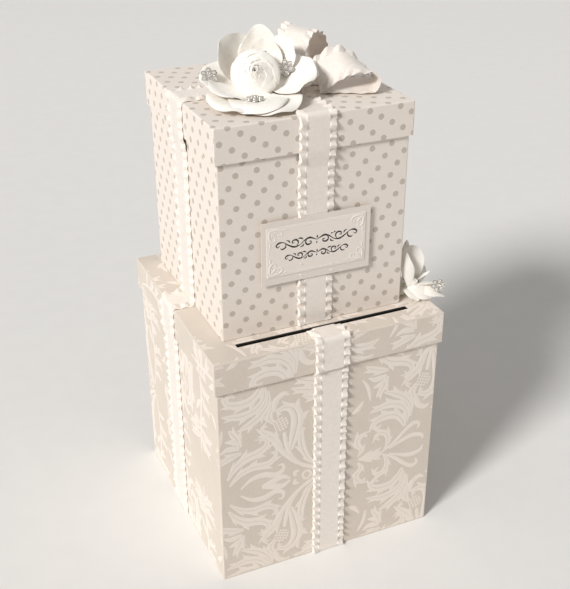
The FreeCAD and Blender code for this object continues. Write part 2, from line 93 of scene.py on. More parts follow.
def grid_normals(grid):
    """Unit directions square to a grid of points."""
    normal = np.cross(np.gradient(grid, axis=0), np.gradient(grid, axis=1))
    return normal / np.maximum(np.linalg.norm(normal, axis=2, keepdims=True), 1e-9)


def normed(vectors):
    """Vectors with a length of one."""
    return vectors / np.linalg.norm(vectors, axis=-1, keepdims=True)


def distances(points):
    """How far along a line each of its points is."""
    return np.concatenate(((0.0,), np.cumsum(np.linalg.norm(np.diff(points, axis=0), axis=1))))


def thin_sheet(grid, thickness, uv):
    """A closed sheet round a grid of middle points, as points, faces and surface coordinates."""
    rows, columns = grid.shape[:2]
    skin = grid_normals(grid) * (thickness / 2)
    points = np.concatenate(((grid + skin).reshape(-1, 3), (grid - skin).reshape(-1, 3)))
    count = rows * columns
    loop = rim_loop(rows, columns)
    after = np.roll(loop, -1)
    rim = np.stack((after, loop, loop + count, after + count), 1)
    faces = np.concatenate((grid_faces(rows, columns, 0, False), grid_faces(rows, columns, count, True), rim))
    return points, faces, np.concatenate((uv.reshape(-1, 2),) * 2)


def joined(parts):
    """Several sheets as one."""
    points, faces, uv = zip(*parts)
    starts = np.cumsum([0] + [len(part) for part in points])
    faces = [part + start for part, start in zip(faces, starts)]
    return np.concatenate(points), np.concatenate(faces), np.concatenate(uv)


def mesh_from(name, points, faces, uv):
    """A mesh from millimetre points, with its surface coordinates on it."""
    mesh = bpy.data.meshes.new(name)
    mesh.from_pydata((np.asarray(points) * MM).tolist(), [], np.asarray(faces).tolist())
    layer = mesh.uv_layers.new(name="surface")
    corner = np.zeros(len(mesh.loops), np.int32)
    mesh.loops.foreach_get("vertex_index", corner)
    layer.data.foreach_set("uv", np.asarray(uv, np.float32)[corner].ravel())
    return mesh


def points_of(mesh):
    """A mesh's points, one to a row."""
    flat = np.zeros(len(mesh.vertices) * 3)
    mesh.vertices.foreach_get("co", flat)
    return flat.reshape(-1, 3)


def put_points(mesh, points):
    """A mesh with its points put at places in millimetres."""
    mesh.vertices.foreach_set("co", (points * MM).ravel())
    mesh.update()
    return mesh


def piece(name, mesh, finish, body, slot, *nodes, sharp=SMOOTH_TO):
    """A finished piece on its body, standing for the CAD nodes that it replaces."""
    if finish:
        mesh.materials.clear()
        mesh.materials.append(finish)
    mesh.shade_smooth()
    mesh.set_sharp_from_angle(angle=math.radians(sharp))
    made = bpy.data.objects.new(name, mesh)
    bpy.context.scene.collection.objects.link(made)
    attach(made, body)
    if nodes:
        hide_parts(*nodes)
    return made


def through(knots, places):
    """A smooth line through knots, read at places counted in knots."""
    knots = np.asarray(knots, float)
    last = len(knots) - 1
    places = np.clip(np.asarray(places, float), 0, last)
    index = np.minimum(places.astype(int), last - 1)
    share = (places - index)[:, None]
    padded = np.concatenate((2 * knots[:1] - knots[1:2], knots, 2 * knots[-1:] - knots[-2:-1]))
    p0, p1, p2, p3 = (padded[index + step] for step in range(4))
    return 0.5 * (2 * p1 + (p2 - p0) * share + (2 * p0 - 5 * p1 + 4 * p2 - p3) * share ** 2
                  + (3 * p1 - p0 - 3 * p2 + p3) * share ** 3)


# Finishes

DAMASK_GROUND = (0.735, 0.65, 0.56)
DAMASK_LEAF = (0.89, 0.80, 0.715)
DOTTED_GROUND = (0.86, 0.775, 0.695)
DOT_INK = (0.585, 0.51, 0.435)
RIBBON_WHITE = (0.90, 0.82, 0.74)
PETAL_WHITE = (0.98, 0.934, 0.86)
CARD_WHITE = (0.88, 0.80, 0.73)

FINE_DETAIL, BROAD_DETAIL = 3.0, 2.0
BROAD_GRAIN = 40
FIRST_SHARE = 0.7
THREADS = (1.0, 2.1)
SLUB_SCALE, WEAVE_SHOWS = 260.0, 0.12
DOTTED_ROUGHNESS, DOTTED_GRAIN, DOTTED_DEPTH = 0.62, 900.0, 0.00012
GROUND_CONTRAST, INK_CONTRAST = 0.045, 0.07
DOT_RADIUS, DOT_EDGE = 3.05, 0.5
LEFT_WALL_SHIFT = (1.3, -4.6)
WEAVE_LIMITS = (0.25, 0.75)
STRONG_BUMP, SOFT_BUMP = 0.6, 0.5


def tree_node(tree, kind, inputs=None, **settings):
    """A node with its settings, and each input set or linked."""
    made = tree.nodes.new(kind)
    for name, value in settings.items():
        setattr(made, name, value)
    for name, value in (inputs or {}).items():
        if isinstance(value, bpy.types.NodeSocket):
            tree.links.new(value, made.inputs[name])
        else:
            made.inputs[name].default_value = value
    return made


def output(tree, kind, inputs=None, **settings):
    """The first output of a new node."""
    return tree_node(tree, kind, inputs, **settings).outputs[0]


def new_finish(name, colour, roughness, **values):
    """A material with the plain values of its shader set."""
    finish = bpy.data.materials.new(name)
    finish.use_nodes = True
    shader = finish.node_tree.nodes["Principled BSDF"]
    for key, value in {"Base_Color": (*colour, 1), "Roughness": roughness, **values}.items():
        shader.inputs[key.replace("_", " ")].default_value = value
    return finish, finish.node_tree, shader


def maths(tree, operation, first, second=0.0):
    """An operation on numbers."""
    return output(tree, "ShaderNodeMath", {0: first, 1: second}, operation=operation)


def vector_maths(tree, operation, first, second=(0, 0, 0)):
    """An operation on vectors, which gives a vector or a number."""
    made = tree_node(tree, "ShaderNodeVectorMath", {0: first, 1: second}, operation=operation)
    return made.outputs["Value" if operation in ("DOT_PRODUCT", "LENGTH") else "Vector"]


def scaled(tree, vector, scale):
    """A vector times a number."""
    return output(tree, "ShaderNodeVectorMath", {0: vector, "Scale": scale}, operation="SCALE")


def weighed(tree, first, second):
    """The sum of two grains, of which the first counts for more."""
    return maths(tree, "ADD", maths(tree, "MULTIPLY", first, FIRST_SHARE),
                 maths(tree, "MULTIPLY", second, 1 - FIRST_SHARE))


def blended(tree, share, first, second):
    """A colour between two others."""
    return tree_node(tree, "ShaderNodeMix", {0: share, 6: first, 7: second}, data_type="RGBA").outputs[2]


def noise(tree, coordinates, scale, detail, stretch=(1, 1, 1)):
    """Grain of a given scale, stretched along the axes."""
    mapped = output(tree, "ShaderNodeMapping", {"Vector": coordinates, "Scale": stretch})
    inputs = {"Vector": mapped, "Scale": scale, "Detail": detail}
    return tree_node(tree, "ShaderNodeTexNoise", inputs).outputs["Fac"]


def eased(tree, value, low, high):
    """A value that runs smoothly from 0 to 1 between two limits."""
    return output(tree, "ShaderNodeMapRange", {"Value": value, "From Min": low, "From Max": high},
                  interpolation_type="SMOOTHSTEP")


def shaded(tree, grain, colour, contrast, low=0.3, high=0.7):
    """A colour, darker by its contrast where the grain is low."""
    dark = (*(channel * (1 - contrast) for channel in colour), 1)
    return blended(tree, eased(tree, grain, low, high), dark, (*colour, 1))


def coloured(tree, shader, colour, height, depth, strength):
    """Gives a shader its colour, and its relief from a height."""
    tree.links.new(colour, shader.inputs["Base Color"])
    bump = output(tree, "ShaderNodeBump", {"Height": height, "Distance": depth, "Strength": strength})
    tree.links.new(bump, shader.inputs["Normal"])


def object_place(tree):
    """Where a surface is, in the piece's own axes."""
    return tree_node(tree, "ShaderNodeTexCoord").outputs["Object"]


def grained(name, colour, roughness, scale, contrast, depth, stretch=(1, 1, 1), **values):
    """A finish with a fine grain in its colour and its surface."""
    finish, tree, shader = new_finish(name, colour, roughness, **values)
    place = object_place(tree)
    fine = noise(tree, place, scale, FINE_DETAIL, stretch)
    broad = noise(tree, place, scale / BROAD_GRAIN, BROAD_DETAIL)
    shade = shaded(tree, weighed(tree, fine, broad), colour, contrast)
    coloured(tree, shader, shade, fine, depth, STRONG_BUMP)
    return finish


def woven(name, colour, roughness, pitch, contrast, depth, **values):
    """A finish with threads both ways across the piece's own surface coordinates."""
    finish, tree, shader = new_finish(name, colour, roughness, **values)
    surface = output(tree, "ShaderNodeUVMap", uv_map="surface")
    apart = tree_node(tree, "ShaderNodeSeparateXYZ", {0: surface}).outputs
    threads = [maths(tree, "SINE", maths(tree, "MULTIPLY", apart[axis], 2 * math.pi * share / pitch))
               for axis, share in enumerate(THREADS)]
    weave = weighed(tree, *threads)
    slub = noise(tree, object_place(tree), SLUB_SCALE, FINE_DETAIL)
    grain = maths(tree, "ADD", maths(tree, "MULTIPLY", weave, WEAVE_SHOWS), slub)
    coloured(tree, shader, shaded(tree, grain, colour, contrast, *WEAVE_LIMITS), weave, depth, SOFT_BUMP)
    return finish


def dotted(name, first, second, phase, place):
    """Paper printed with dots on a slanted lattice, which place() lays out flat in millimetres."""
    finish, tree, shader = new_finish(name, DOTTED_GROUND, DOTTED_ROUGHNESS)
    flat = vector_maths(tree, "SUBTRACT", place(tree), (*phase, 0))
    area = first[0] * second[1] - first[1] * second[0]
    rows = ((second[1] / area, -second[0] / area, 0), (-first[1] / area, first[0] / area, 0))
    offset = None
    for row, step in zip(rows, (first, second)):
        count = vector_maths(tree, "DOT_PRODUCT", flat, row)
        part = scaled(tree, (*step, 0), maths(tree, "SUBTRACT", count, maths(tree, "ROUND", count)))
        offset = vector_maths(tree, "ADD", offset, part) if offset else part
    fine = noise(tree, object_place(tree), DOTTED_GRAIN, FINE_DETAIL)
    edge = maths(tree, "ADD", vector_maths(tree, "LENGTH", offset), maths(tree, "MULTIPLY", fine, DOT_EDGE))
    printed = eased(tree, edge, DOT_RADIUS + DOT_EDGE, DOT_RADIUS)
    paper = shaded(tree, fine, DOTTED_GROUND, GROUND_CONTRAST)
    ink = shaded(tree, fine, DOT_INK, INK_CONTRAST)
    coloured(tree, shader, blended(tree, printed, paper, ink), fine, DOTTED_DEPTH, SOFT_BUMP)
    return finish


def facing_and_place(tree):
    """The way that a surface faces, and where it is in millimetres."""
    facing = tree_node(tree, "ShaderNodeNewGeometry").outputs["True Normal"]
    return facing, scaled(tree, object_place(tree), 1 / MM)


def wall_place(tree):
    """Round the upper box's walls: distance along the wall and height, the left wall shifted as wrapped."""
    facing, here = facing_and_place(tree)
    along = vector_maths(tree, "DOT_PRODUCT", here, vector_maths(tree, "CROSS_PRODUCT", UP, facing))
    height = vector_maths(tree, "DOT_PRODUCT", here, UP)
    leftwards = vector_maths(tree, "DOT_PRODUCT", facing, SIDES["left"])
    along, height = (maths(tree, "ADD", value, maths(tree, "MULTIPLY", leftwards, shift))
                     for value, shift in zip((along, height), LEFT_WALL_SHIFT))
    return output(tree, "ShaderNodeCombineXYZ", {0: along, 1: height})


def lid_place(tree):
    """The upper lid's paper laid flat: the top, with each rim folded out."""
    facing, here = facing_and_place(tree)
    drop = maths(tree, "SUBTRACT", TOP, vector_maths(tree, "DOT_PRODUCT", here, UP))
    unfolded = vector_maths(tree, "ADD", here, scaled(tree, facing, drop))
    return vector_maths(tree, "MULTIPLY", unfolded, (1, 1, 0))


damask_leaf = grained("damask raised leaves", DAMASK_LEAF, 0.45, 1600.0, 0.06, 0.0001)
ribbon_white = woven("ruffled ribbon", RIBBON_WHITE, 0.38, 0.8, 0.07, 0.00005, Sheen_Weight=0.2)
petal_white = woven("silk petals", PETAL_WHITE, 0.6, 0.035, 0.05, 0.00004, Sheen_Weight=0.2)
card_raised = grained("tag embossing", CARD_WHITE, 0.5, 700.0, 0.03, 0.00004)
ink_black = grained("pen ink", (0.02, 0.018, 0.016), 0.45, 900.0, 0.2, 0.00002)
silver = grained("silver cups", (0.62, 0.59, 0.55), 0.22, 900.0, 0.25, 0.00002, Metallic=1.0)
crystal = grained("crystal stones", (0.98, 0.94, 0.88), 0.03, 500.0, 0.02, 0.000005,
                  Transmission_Weight=0.65, IOR=1.75)

# A CAD node has a finish of its own, or else its material slot's
OWN_FINISHES = {
    "upper_lid_wrap_paper": dotted("dotted lid paper", (12.0, -6.8), (-8.4, -14.4), (-80.1, -100.0),
                                   lid_place),
    # The backing card is darker than the upper card: painted shade for the shading of its bevelled border
    "tag_backing_card": grained("tag backing card with painted bevel shade", (0.82, 0.74, 0.67), 0.6, 700.0, 0.05, 0.00008),
    # The slot's top board is near black: painted shade for the shadowed inside of the card slot
    "slot_lid_top_board": grained("slot board painted as shade", (0.035, 0.033, 0.03), 0.9, 420.0, 0.3, 0.0003),
}
SLOT_FINISHES = {
    "ribbon": ribbon_white, "petal_silk": petal_white, "jewel_metal": silver, "jewel_stone": crystal,
    "damask_paper": grained("damask ground", DAMASK_GROUND, 0.6, 1400.0, 0.10, 0.0002, (1, 1, 0.35)),
    "dotted_paper": dotted("dotted wall paper", (14.0, -9.2), (-7.0, -11.6), (-84.9, 442.7), wall_place),
    "tag_card": grained("tag card", CARD_WHITE, 0.55, 700.0, 0.04, 0.00006),
    "chipboard": grained("chipboard", (0.40, 0.37, 0.32), 0.85, 420.0, 0.22, 0.0003),
    "gummed_tape": grained("gummed tape", (0.62, 0.47, 0.30), 0.7, 600.0, 0.15, 0.0001, (1, 1, 0.2)),
    "calyx_plastic": grained("calyx", (0.78, 0.76, 0.64), 0.6, 300.0, 0.15, 0.0002),
    "foam": grained("foam pads", (0.86, 0.85, 0.82), 0.9, 1200.0, 0.1, 0.0004),
    "glue": grained("set glue", (0.84, 0.80, 0.70), 0.3, 200.0, 0.08, 0.0001),
}
for part in frame["record"]["subparts"]:
    node = frame["nodes"][part["node"]]
    node.data.materials.clear()
    node.data.materials.append(OWN_FINISHES.get(part["node"], SLOT_FINISHES[part["material_slot"]]))


# Shapes made by nodes

STROKE_SIDES = 8


def shape_by(tree, kind, inputs=None, **settings):
    """What a new geometry node makes."""
    return output(tree, "GeometryNode" + kind, inputs, **settings)


def making_tree(name, inputs, build):
    """A node tree with named inputs, ending in realised instances with one finish."""
    tree = bpy.data.node_groups.new(name, "GeometryNodeTree")
    for label, kind in {"Geometry": "Geometry", **inputs, "Finish": "Material"}.items():
        tree.interface.new_socket(label, in_out="INPUT", socket_type="NodeSocket" + kind)
    tree.interface.new_socket("Geometry", in_out="OUTPUT", socket_type="NodeSocketGeometry")
    given = tree.nodes.new("NodeGroupInput").outputs
    real = shape_by(tree, "RealizeInstances", {0: build(tree, given)})
    coated = shape_by(tree, "SetMaterial", {"Geometry": real, "Material": given["Finish"]})
    tree.links.new(coated, tree.nodes.new("NodeGroupOutput").inputs[0])
    return tree


def mesh_by(tree, source, values):
    """The plain mesh that a node tree makes from a source mesh."""
    host = bpy.data.objects.new("making", source)
    bpy.context.scene.collection.objects.link(host)
    modifier = host.modifiers.new("making", "NODES")
    modifier.node_group = tree
    for socket in tree.interface.items_tree:
        if socket.in_out == "INPUT" and socket.name in values:
            modifier[socket.identifier] = values[socket.name]
    graph = bpy.context.evaluated_depsgraph_get()
    made = bpy.data.meshes.new_from_object(host.evaluated_get(graph))
    host.modifiers.remove(modifier)
    bpy.data.objects.remove(host)
    bpy.data.meshes.remove(source)
    return made


def stroke_nodes(tree, given):
    """Raised strokes along lines, as wide as each line says and domed by a share of that."""
    curve = shape_by(tree, "MeshToCurve", {"Mesh": given["Geometry"]})
    curve = shape_by(tree, "CurveSplineType", {"Curve": curve}, spline_type="CATMULL_ROM")
    curve = shape_by(tree, "SetSplineResolution", {"Geometry": curve, "Resolution": given["Steps"]})
    curve = shape_by(tree, "SetCurveNormal", {"Curve": curve}, mode="Z_UP")
    width = shape_by(tree, "InputNamedAttribute", {"Name": "half_width"}, data_type="FLOAT")
    circle = shape_by(tree, "CurvePrimitiveCircle", {"Resolution": STROKE_SIDES, "Radius": 1.0})
    flat = output(tree, "ShaderNodeCombineXYZ", {0: 1.0, 1: given["Dome"], 2: 1.0})
    profile = shape_by(tree, "Transform", {"Geometry": circle, "Scale": flat})
    return shape_by(tree, "CurveToMesh", {"Curve": curve, "Profile Curve": profile, "Scale": width,
                                          "Fill Caps": True})


stroke_tree = making_tree("raised strokes", {"Dome": "Float", "Steps": "Int"}, stroke_nodes)


def strokes_mesh(strokes, dome, steps, finish):
    """Raised strokes in the flat, in millimetres: each is a list of (across, up, half width)."""
    source = bpy.data.meshes.new("stroke lines")
    points, edges, widths = [], [], []
    for stroke in strokes:
        first = len(points)
        points.extend((s, t, 0.0) for s, t, _ in stroke)
        widths.extend(half for _, _, half in stroke)
        edges.extend((index, index + 1) for index in range(first, len(points) - 1))
    source.from_pydata(points, edges, [])
    source.attributes.new("half_width", "FLOAT", "POINT").data.foreach_set("value", widths)
    return mesh_by(stroke_tree, source, {"Dome": dome, "Steps": steps, "Finish": finish})


# Damask: one unit of strokes, mirrored across its axis and dropped by half for the next column

DAMASK_WIDTH = (LOWER_HIGH[0] - LOWER_LOW[0]) * 4 / 3
DAMASK_HEIGHT = 156.0
DAMASK_UNIT = (
    ((108, 5, 1.0), (92, 14, 1.8), (80, 28, 2.3), (74, 45, 2.6), (71, 62, 2.0)),
    ((104, 9, 0.8), (86, 19, 2.2), (71, 36, 3.0), (62, 50, 3.4), (55, 61, 1.0)),
    ((110, 7, 0.8), (99, 20, 2.8), (92, 36, 4.2), (90, 52, 3.4), (93, 62, 0.8)),
    ((78, 38, 2.5), (83, 56, 6.0), (86, 74, 7.2), (82, 87, 6.2), (74, 92, 4.2), (66, 90, 2.6), (65, 86, 1.6),
     (68, 85, 0.8)),
    ((68, 44, 2.0), (60, 57, 4.6), (52, 65, 4.2), (47, 70, 2.8), (49, 75, 1.8), (53, 74, 0.8)),
    ((60, 76, 2.0), (55, 84, 3.8), (57, 92, 3.0), (63, 97, 0.8)),
    ((48, 128, 2.0), (44, 118, 4.0), (36, 110, 5.0), (24, 108, 5.0), (13, 111, 4.0), (9, 117, 3.0),
     (14, 121, 2.0), (19, 118, 0.8)),
    ((50, 123, 1.4), (50, 110, 3.0), (42, 99, 4.4), (28, 94, 4.8), (14, 96, 3.2), (4, 99, 0.7)),
    ((54, 117, 1.4), (54, 102, 3.0), (46, 90, 4.2), (34, 82, 4.2), (20, 77, 0.7)),
    ((60, 92, 1.6), (62, 102, 3.6), (68, 111, 0.7)),
    ((64, 103, 1.6), (71, 109, 2.8), (77, 106, 0.7)),
    ((24, 50, 1.6), (14, 48, 3.8), (4, 44, 3.6), (-3, 39, 0.7)),
    ((22, 56, 1.8), (14, 58, 3.4), (8, 58, 2.8), (1, 54, 0.7)),
    ((22, 61, 1.8), (15, 66, 3.2), (7, 68, 0.7)),
    ((23, 57, 2.2), (20, 68, 4.2), (15, 76, 3.2), (11, 81, 0.7)),
    ((-6, 55, 0.8), (0, 64, 2.0), (3, 74, 2.0), (4, 83, 0.7)),
    ((-18, 95, 0.8), (-10, 90, 3.0), (-4, 81, 0.7)),
    ((8, 20, 1.2), (16, 32, 3.6), (28, 41, 5.2), (41, 44, 5.0), (51, 50, 3.8), (52, 58, 2.6), (46, 60, 1.6),
     (44, 56, 0.8)),
    ((10, 12, 1.2), (22, 23, 3.2), (36, 28, 4.4), (50, 27, 4.2), (60, 32, 3.0), (61, 39, 2.0), (56, 41, 0.8)),
    ((22, 4, 0.8), (34, 13, 2.4), (48, 15, 3.4), (61, 11, 3.0), (70, 15, 2.2), (69, 22, 1.4), (64, 22, 0.7)),
    ((46, 0, 2.0), (57, 3, 3.6), (69, 6, 3.0), (78, 1, 0.8)),
    ((84, 2, 1.6), (83, 7, 2.2), (88, 8, 1.2)),
    ((92, 0, 1.4), (94, 4, 1.5), (98, 5, 1.5), (101, 2, 1.4), (102, -1, 1.2)),
    ((-8, 156, 0.8), (3, 157, 3.8), (13, 157, 4.2), (22, 156, 1.6)),
    ((-8, 152, 1.2), (-4, 144, 2.8), (-9, 136, 3.8), (-8, 128, 3.8), (-1, 125, 2.4), (2, 129, 0.8)),
    ((24, 152, 1.2), (28, 142, 2.8), (26, 132, 3.8), (18, 128, 3.4), (13, 133, 2.2), (18, 138, 0.8)),
    ((22, 154, 1.2), (36, 146, 2.0), (50, 133, 2.4), (60, 127, 2.8), (66, 130, 2.0), (64, 136, 0.8)),
    ((30, 153, 0.8), (44, 147, 2.0), (58, 143, 2.8), (70, 146, 2.2), (72, 152, 0.8)),
    ((112, 112, 2.0), (101, 116, 4.6), (91, 120, 3.8), (83, 125, 0.8)),
    ((111, 104, 2.0), (99, 106, 4.4), (88, 109, 3.4), (79, 113, 0.8)),
    ((112, 97, 2.0), (102, 97, 3.8), (91, 101, 0.8)),
    ((112, 111, 2.0), (121, 118, 4.8), (131, 121, 4.0), (141, 117, 0.8)),
    ((112, 102, 2.0), (124, 105, 4.6), (135, 105, 3.8), (147, 100, 0.8)),
    ((113, 94, 2.0), (122, 89, 4.0), (133, 88, 0.8)),
    ((111, 9, 1.0), (117, 30, 1.8), (119, 56, 2.2), (116, 82, 2.4), (112, 116, 2.0), (112, 134, 0.8)),
    ((117, 40, 1.2), (126, 47, 3.8), (136, 49, 3.4), (145, 44, 0.8)),
    ((118, 56, 1.2), (127, 64, 3.8), (136, 67, 3.2), (145, 65, 0.8)),
    ((118, 28, 1.0), (128, 30, 3.2), (138, 27, 0.8)),
    ((116, 66, 1.0), (108, 74, 3.4), (102, 84, 0.8)),
)
DAMASK_AXIS = 110.7
DAMASK_DOME, DAMASK_STEPS = 0.045, 4
STROKE_MARGIN = 8.0
VEINED_FROM, VEIN_OFFSET, VEIN_SHARE = 3.7, 0.56, 0.47
HOOK = ((-4.0, 0.55, 0.15), (0.0, 0.9, 0.4), (3.6, 1.2, 0.33), (7.0, 1.9, 0.0))
HOOK_LEAST = 0.2
HATCH_MIDDLE, HATCH_REACH = np.array((67.5, 73.0)), 8.5
HATCH_LINES, HATCH_TURN, HATCH_SPREAD, HATCH_WIDTH = 5, 0.35, 0.8, 0.55
PANEL_EDGE = 1.6
LID_DAMASK = np.array((96.0, 40.0))
TIER_GAP, SLOT_MARGIN = 0.3, 0.5


def hatching():
    """The crossed lines in the heart of the damask flower."""
    lines = []
    for turn in (HATCH_TURN, HATCH_TURN + math.pi / 2):
        along = np.array((math.cos(turn), math.sin(turn)))
        across = np.array((-along[1], along[0]))
        for index in range(HATCH_LINES):
            aside = HATCH_REACH * (2 * index / (HATCH_LINES - 1) - 1) * HATCH_SPREAD
            reach = math.sqrt(HATCH_REACH ** 2 - aside ** 2)
            middle = HATCH_MIDDLE + across * aside
            lines.append([(*(middle + along * end), HATCH_WIDTH) for end in (-reach, 0.0, reach)])
    return lines


def leaf(stroke):
    """A slim stroke as it is, or a broad one as two halves beside a vein, hooked along its outer edge."""
    line = np.array(stroke, float)
    if line[:, 2].max() < VEINED_FROM:
        return [stroke]
    ahead = normed(np.gradient(line[:, :2], axis=0))
    aside = np.stack((-ahead[:, 1], ahead[:, 0]), 1)
    strokes = []
    for side in (-1, 1):
        beside = line.copy()
        beside[:, :2] += side * VEIN_OFFSET * line[:, 2:] * aside
        beside[:, 2] *= VEIN_SHARE
        strokes.append(beside)
    for index in range(1, len(line) - 1):
        bend = ahead[index - 1][0] * ahead[index + 1][1] - ahead[index - 1][1] * ahead[index + 1][0]
        outwards = -np.sign(bend) * aside[index]
        spot, half = line[index, :2], line[index, 2]
        strokes.append([(*(spot + ahead[index] * forth + outwards * wide * half), share * half + HOOK_LEAST)
                        for forth, wide, share in HOOK])
    return strokes


def damask_strokes(low, high):
    """Every stroke of the repeat that reaches into a rectangle."""
    found, unit = [], hatching()
    for stroke in DAMASK_UNIT:
        unit += leaf(stroke)
    whole = np.array((DAMASK_WIDTH, DAMASK_HEIGHT))
    step = whole / (2, 1)
    first = np.floor((low - whole) / step).astype(int)
    last = np.ceil((high + whole) / step).astype(int)
    for column in range(first[0], last[0] + 1):
        for row in range(first[1], last[1] + 1):
            if (column + row) % 2:
                continue
            shift = (*((column, row) * step), 0.0)
            for mirror in (1.0, -1.0):
                for stroke in unit:
                    line = np.array(stroke) * (1.0, mirror, 1.0) + shift
                    spots = line[:, :2]
                    if ((spots > low - STROKE_MARGIN) & (spots < high + STROKE_MARGIN)).all(1).any():
                        found.append(line.tolist())
    return found


def clipped(mesh, low, high):
    """A flat-laid mesh cut to a rectangle, with the cuts closed."""
    work = bmesh.new()
    work.from_mesh(mesh)
    for axis, square in enumerate((Vector(RIGHT), Vector(AWAY))):
        for limit, sign in ((low[axis], -1), (high[axis], 1)):
            bmesh.ops.bisect_plane(work, geom=work.verts[:] + work.edges[:] + work.faces[:], dist=1e-5,
                                   plane_co=square * limit, plane_no=square * sign, clear_outer=True)
            bmesh.ops.holes_fill(work, edges=[edge for edge in work.edges if edge.is_boundary], sides=0)
    work.to_mesh(mesh)
    work.free()


def damask_panel(low, size, origin, right, up, out):
    """The raised leaves on one flat panel: low is its corner in the repeat, origin its corner on the box."""
    low = np.array(low)
    high = low + size
    mesh = strokes_mesh(damask_strokes(low, high), DAMASK_DOME, DAMASK_STEPS, damask_leaf)
    clipped(mesh, low, high)
    if np.dot(np.cross(right, up), out) < 0:
        mesh.flip_normals()
    flat = points_of(mesh) - (*low, 0)
    return put_points(mesh, np.array(origin) + flat[:, :1] * right + flat[:, 1:2] * up + flat[:, 2:] * out)


def lower_panels():
    """The raised leaves round the lower box, one panel to a wall."""
    half = LOWER_HIGH[0]
    size = np.array((2 * half, LOWER_HIGH[2])) - 2 * PANEL_EDGE
    for index, side in enumerate(("front", "right", "back", "left")):
        out = SIDES[side]
        right = np.cross(UP, out)
        origin = half * (out - right) + PANEL_EDGE * (right + UP)
        low = (index * 2 * half + PANEL_EDGE, PANEL_EDGE - DAMASK_AXIS)
        mesh = damask_panel(low, size, origin, right, UP, out)
        piece("lower_damask_" + side, mesh, None, BOX, "damask_paper")


def lid_panels():
    """The raised leaves on the slotted lid: its rims, and its top where the upper box leaves it bare."""
    half, high = RIM_HIGH[0], RIM_HIGH[2]
    edge = half - PANEL_EDGE
    foot, head = RIM_LOW[2] + PANEL_EDGE, high - PANEL_EDGE
    rim = head - foot
    near_fold, far_fold = foot - half - high, half + high - head
    rims = {
        "front": ((-edge, near_fold), (2 * edge, rim), (-edge, -half, foot), RIGHT, UP),
        "back": ((-edge, far_fold), (2 * edge, rim), (-edge, half, head), RIGHT, -UP),
        "left": ((near_fold, -edge), (rim, 2 * edge), (-half, -edge, foot), UP, AWAY),
        "right": ((far_fold, -edge), (rim, 2 * edge), (half, -edge, head), -UP, AWAY),
    }
    for side, (low, size, origin, right, up) in rims.items():
        mesh = damask_panel(LID_DAMASK + low, size, origin, right, up, SIDES[side])
        piece("lid_damask_" + side, mesh, None, LID, "damask_paper")
    slot_low, slot_high = slot_opening()
    (left, near), (right, far) = TIER_LOW[:2] - TIER_GAP, TIER_HIGH[:2] + TIER_GAP
    strips = (
        ((-edge, -edge), (edge, slot_low[1])),
        ((-edge, slot_low[1]), (slot_low[0], near)),
        ((slot_high[0], slot_low[1]), (edge, near)),
        ((slot_low[0], slot_high[1]), (slot_high[0], near)),
        ((-edge, near), (left, edge)),
        ((right, near), (edge, edge)),
        ((left, far), (right, edge)),
    )
    tops = bmesh.new()
    for low, end in strips:
        mesh = damask_panel(LID_DAMASK + low, np.array(end) - low, (*low, high), RIGHT, AWAY, UP)
        tops.from_mesh(mesh)
        bpy.data.meshes.remove(mesh)
    mesh = bpy.data.meshes.new("lid damask top")
    tops.to_mesh(mesh)
    tops.free()
    piece("lid_damask_top", mesh, damask_leaf, LID, "damask_paper")


def slot_opening():
    """The card slot's corners in millimetres, a little larger than its cut."""
    opening = next(o for o in frame["record"]["physics"]["openings"] if o["name"] == "card_slot")
    low, high = (np.array(corner) / MM for corner in opening["box_m"])
    return low - SLOT_MARGIN, high + SLOT_MARGIN


lower_panels()
lid_panels()


# Ruffled ribbon

RIBBON_WIDTH, RIBBON_FLAT, RIBBON_THICK = 38.0, 23.0, 0.5
RUFFLE_SWING, RUFFLE_LEVEL, RUFFLE_PITCH = 3.4, 1.9, 11.5
RUFFLE_SLANTS = ((-1, 3.2), (1, -1.6))
RUFFLE_PLACES = np.array((0.0, 0.08, 0.2, 0.34, 0.5, 0.66, 0.82, 0.94, 1.0))
PLEAT_LENGTHS, PLEAT_HEIGHTS = (0.62, 1.38), (0.7, 1.0)
PLEAT_ROOT, PLEAT_DRAWN = 0.35, 0.08
RIM_FROM, RIM_LAID = 0.82, 0.1
FLAT_PLACES = 7
RIBBON_STEP, GATHER_STEP = 0.7, 0.25
BEND_RADIUS, BEND_SHARE, BEND_STEPS = 2.5, 0.45, 9
LINE_UP = 0.32
FOOT_UP, UPPER_FOOT_UP = 0.2, 0.4
BRIDGE = 16.0
CROSSING_ROOM, HOP_RUN, HOP_RISE = 1.0, 8.0, 2.7
BASE_SEED, SLOT_LID_SEED = 11, 31
FRONT_TO_BACK_SEED, SIDE_TO_SIDE_SEED = 51, 53


def gathers(length, seed):
    """A wave along a ribbon's edge whose pleats differ in length and height."""
    chance = np.random.default_rng(seed)
    places, values, sign = [-RUFFLE_PITCH], [0.0], 1.0
    while places[-1] < length + 2 * RUFFLE_PITCH:
        places.append(places[-1] + RUFFLE_PITCH / 2 * chance.uniform(*PLEAT_LENGTHS))
        values.append(sign * chance.uniform(*PLEAT_HEIGHTS))
        sign = -sign
    fine = np.arange(places[0], places[-1], GATHER_STEP)
    wave = np.interp(fine, places, values)
    return lambda s: np.interp(s, fine, wave)


def across_stations():
    """Where the ribbon's width is sampled: close together in the gathered edges."""
    half, flat = RIBBON_WIDTH / 2, RIBBON_FLAT / 2
    ruffle = flat + (half - flat) * RUFFLE_PLACES
    middle = np.linspace(-flat, flat, FLAT_PLACES)[1:-1]
    return np.concatenate((-ruffle[::-1], middle, ruffle))


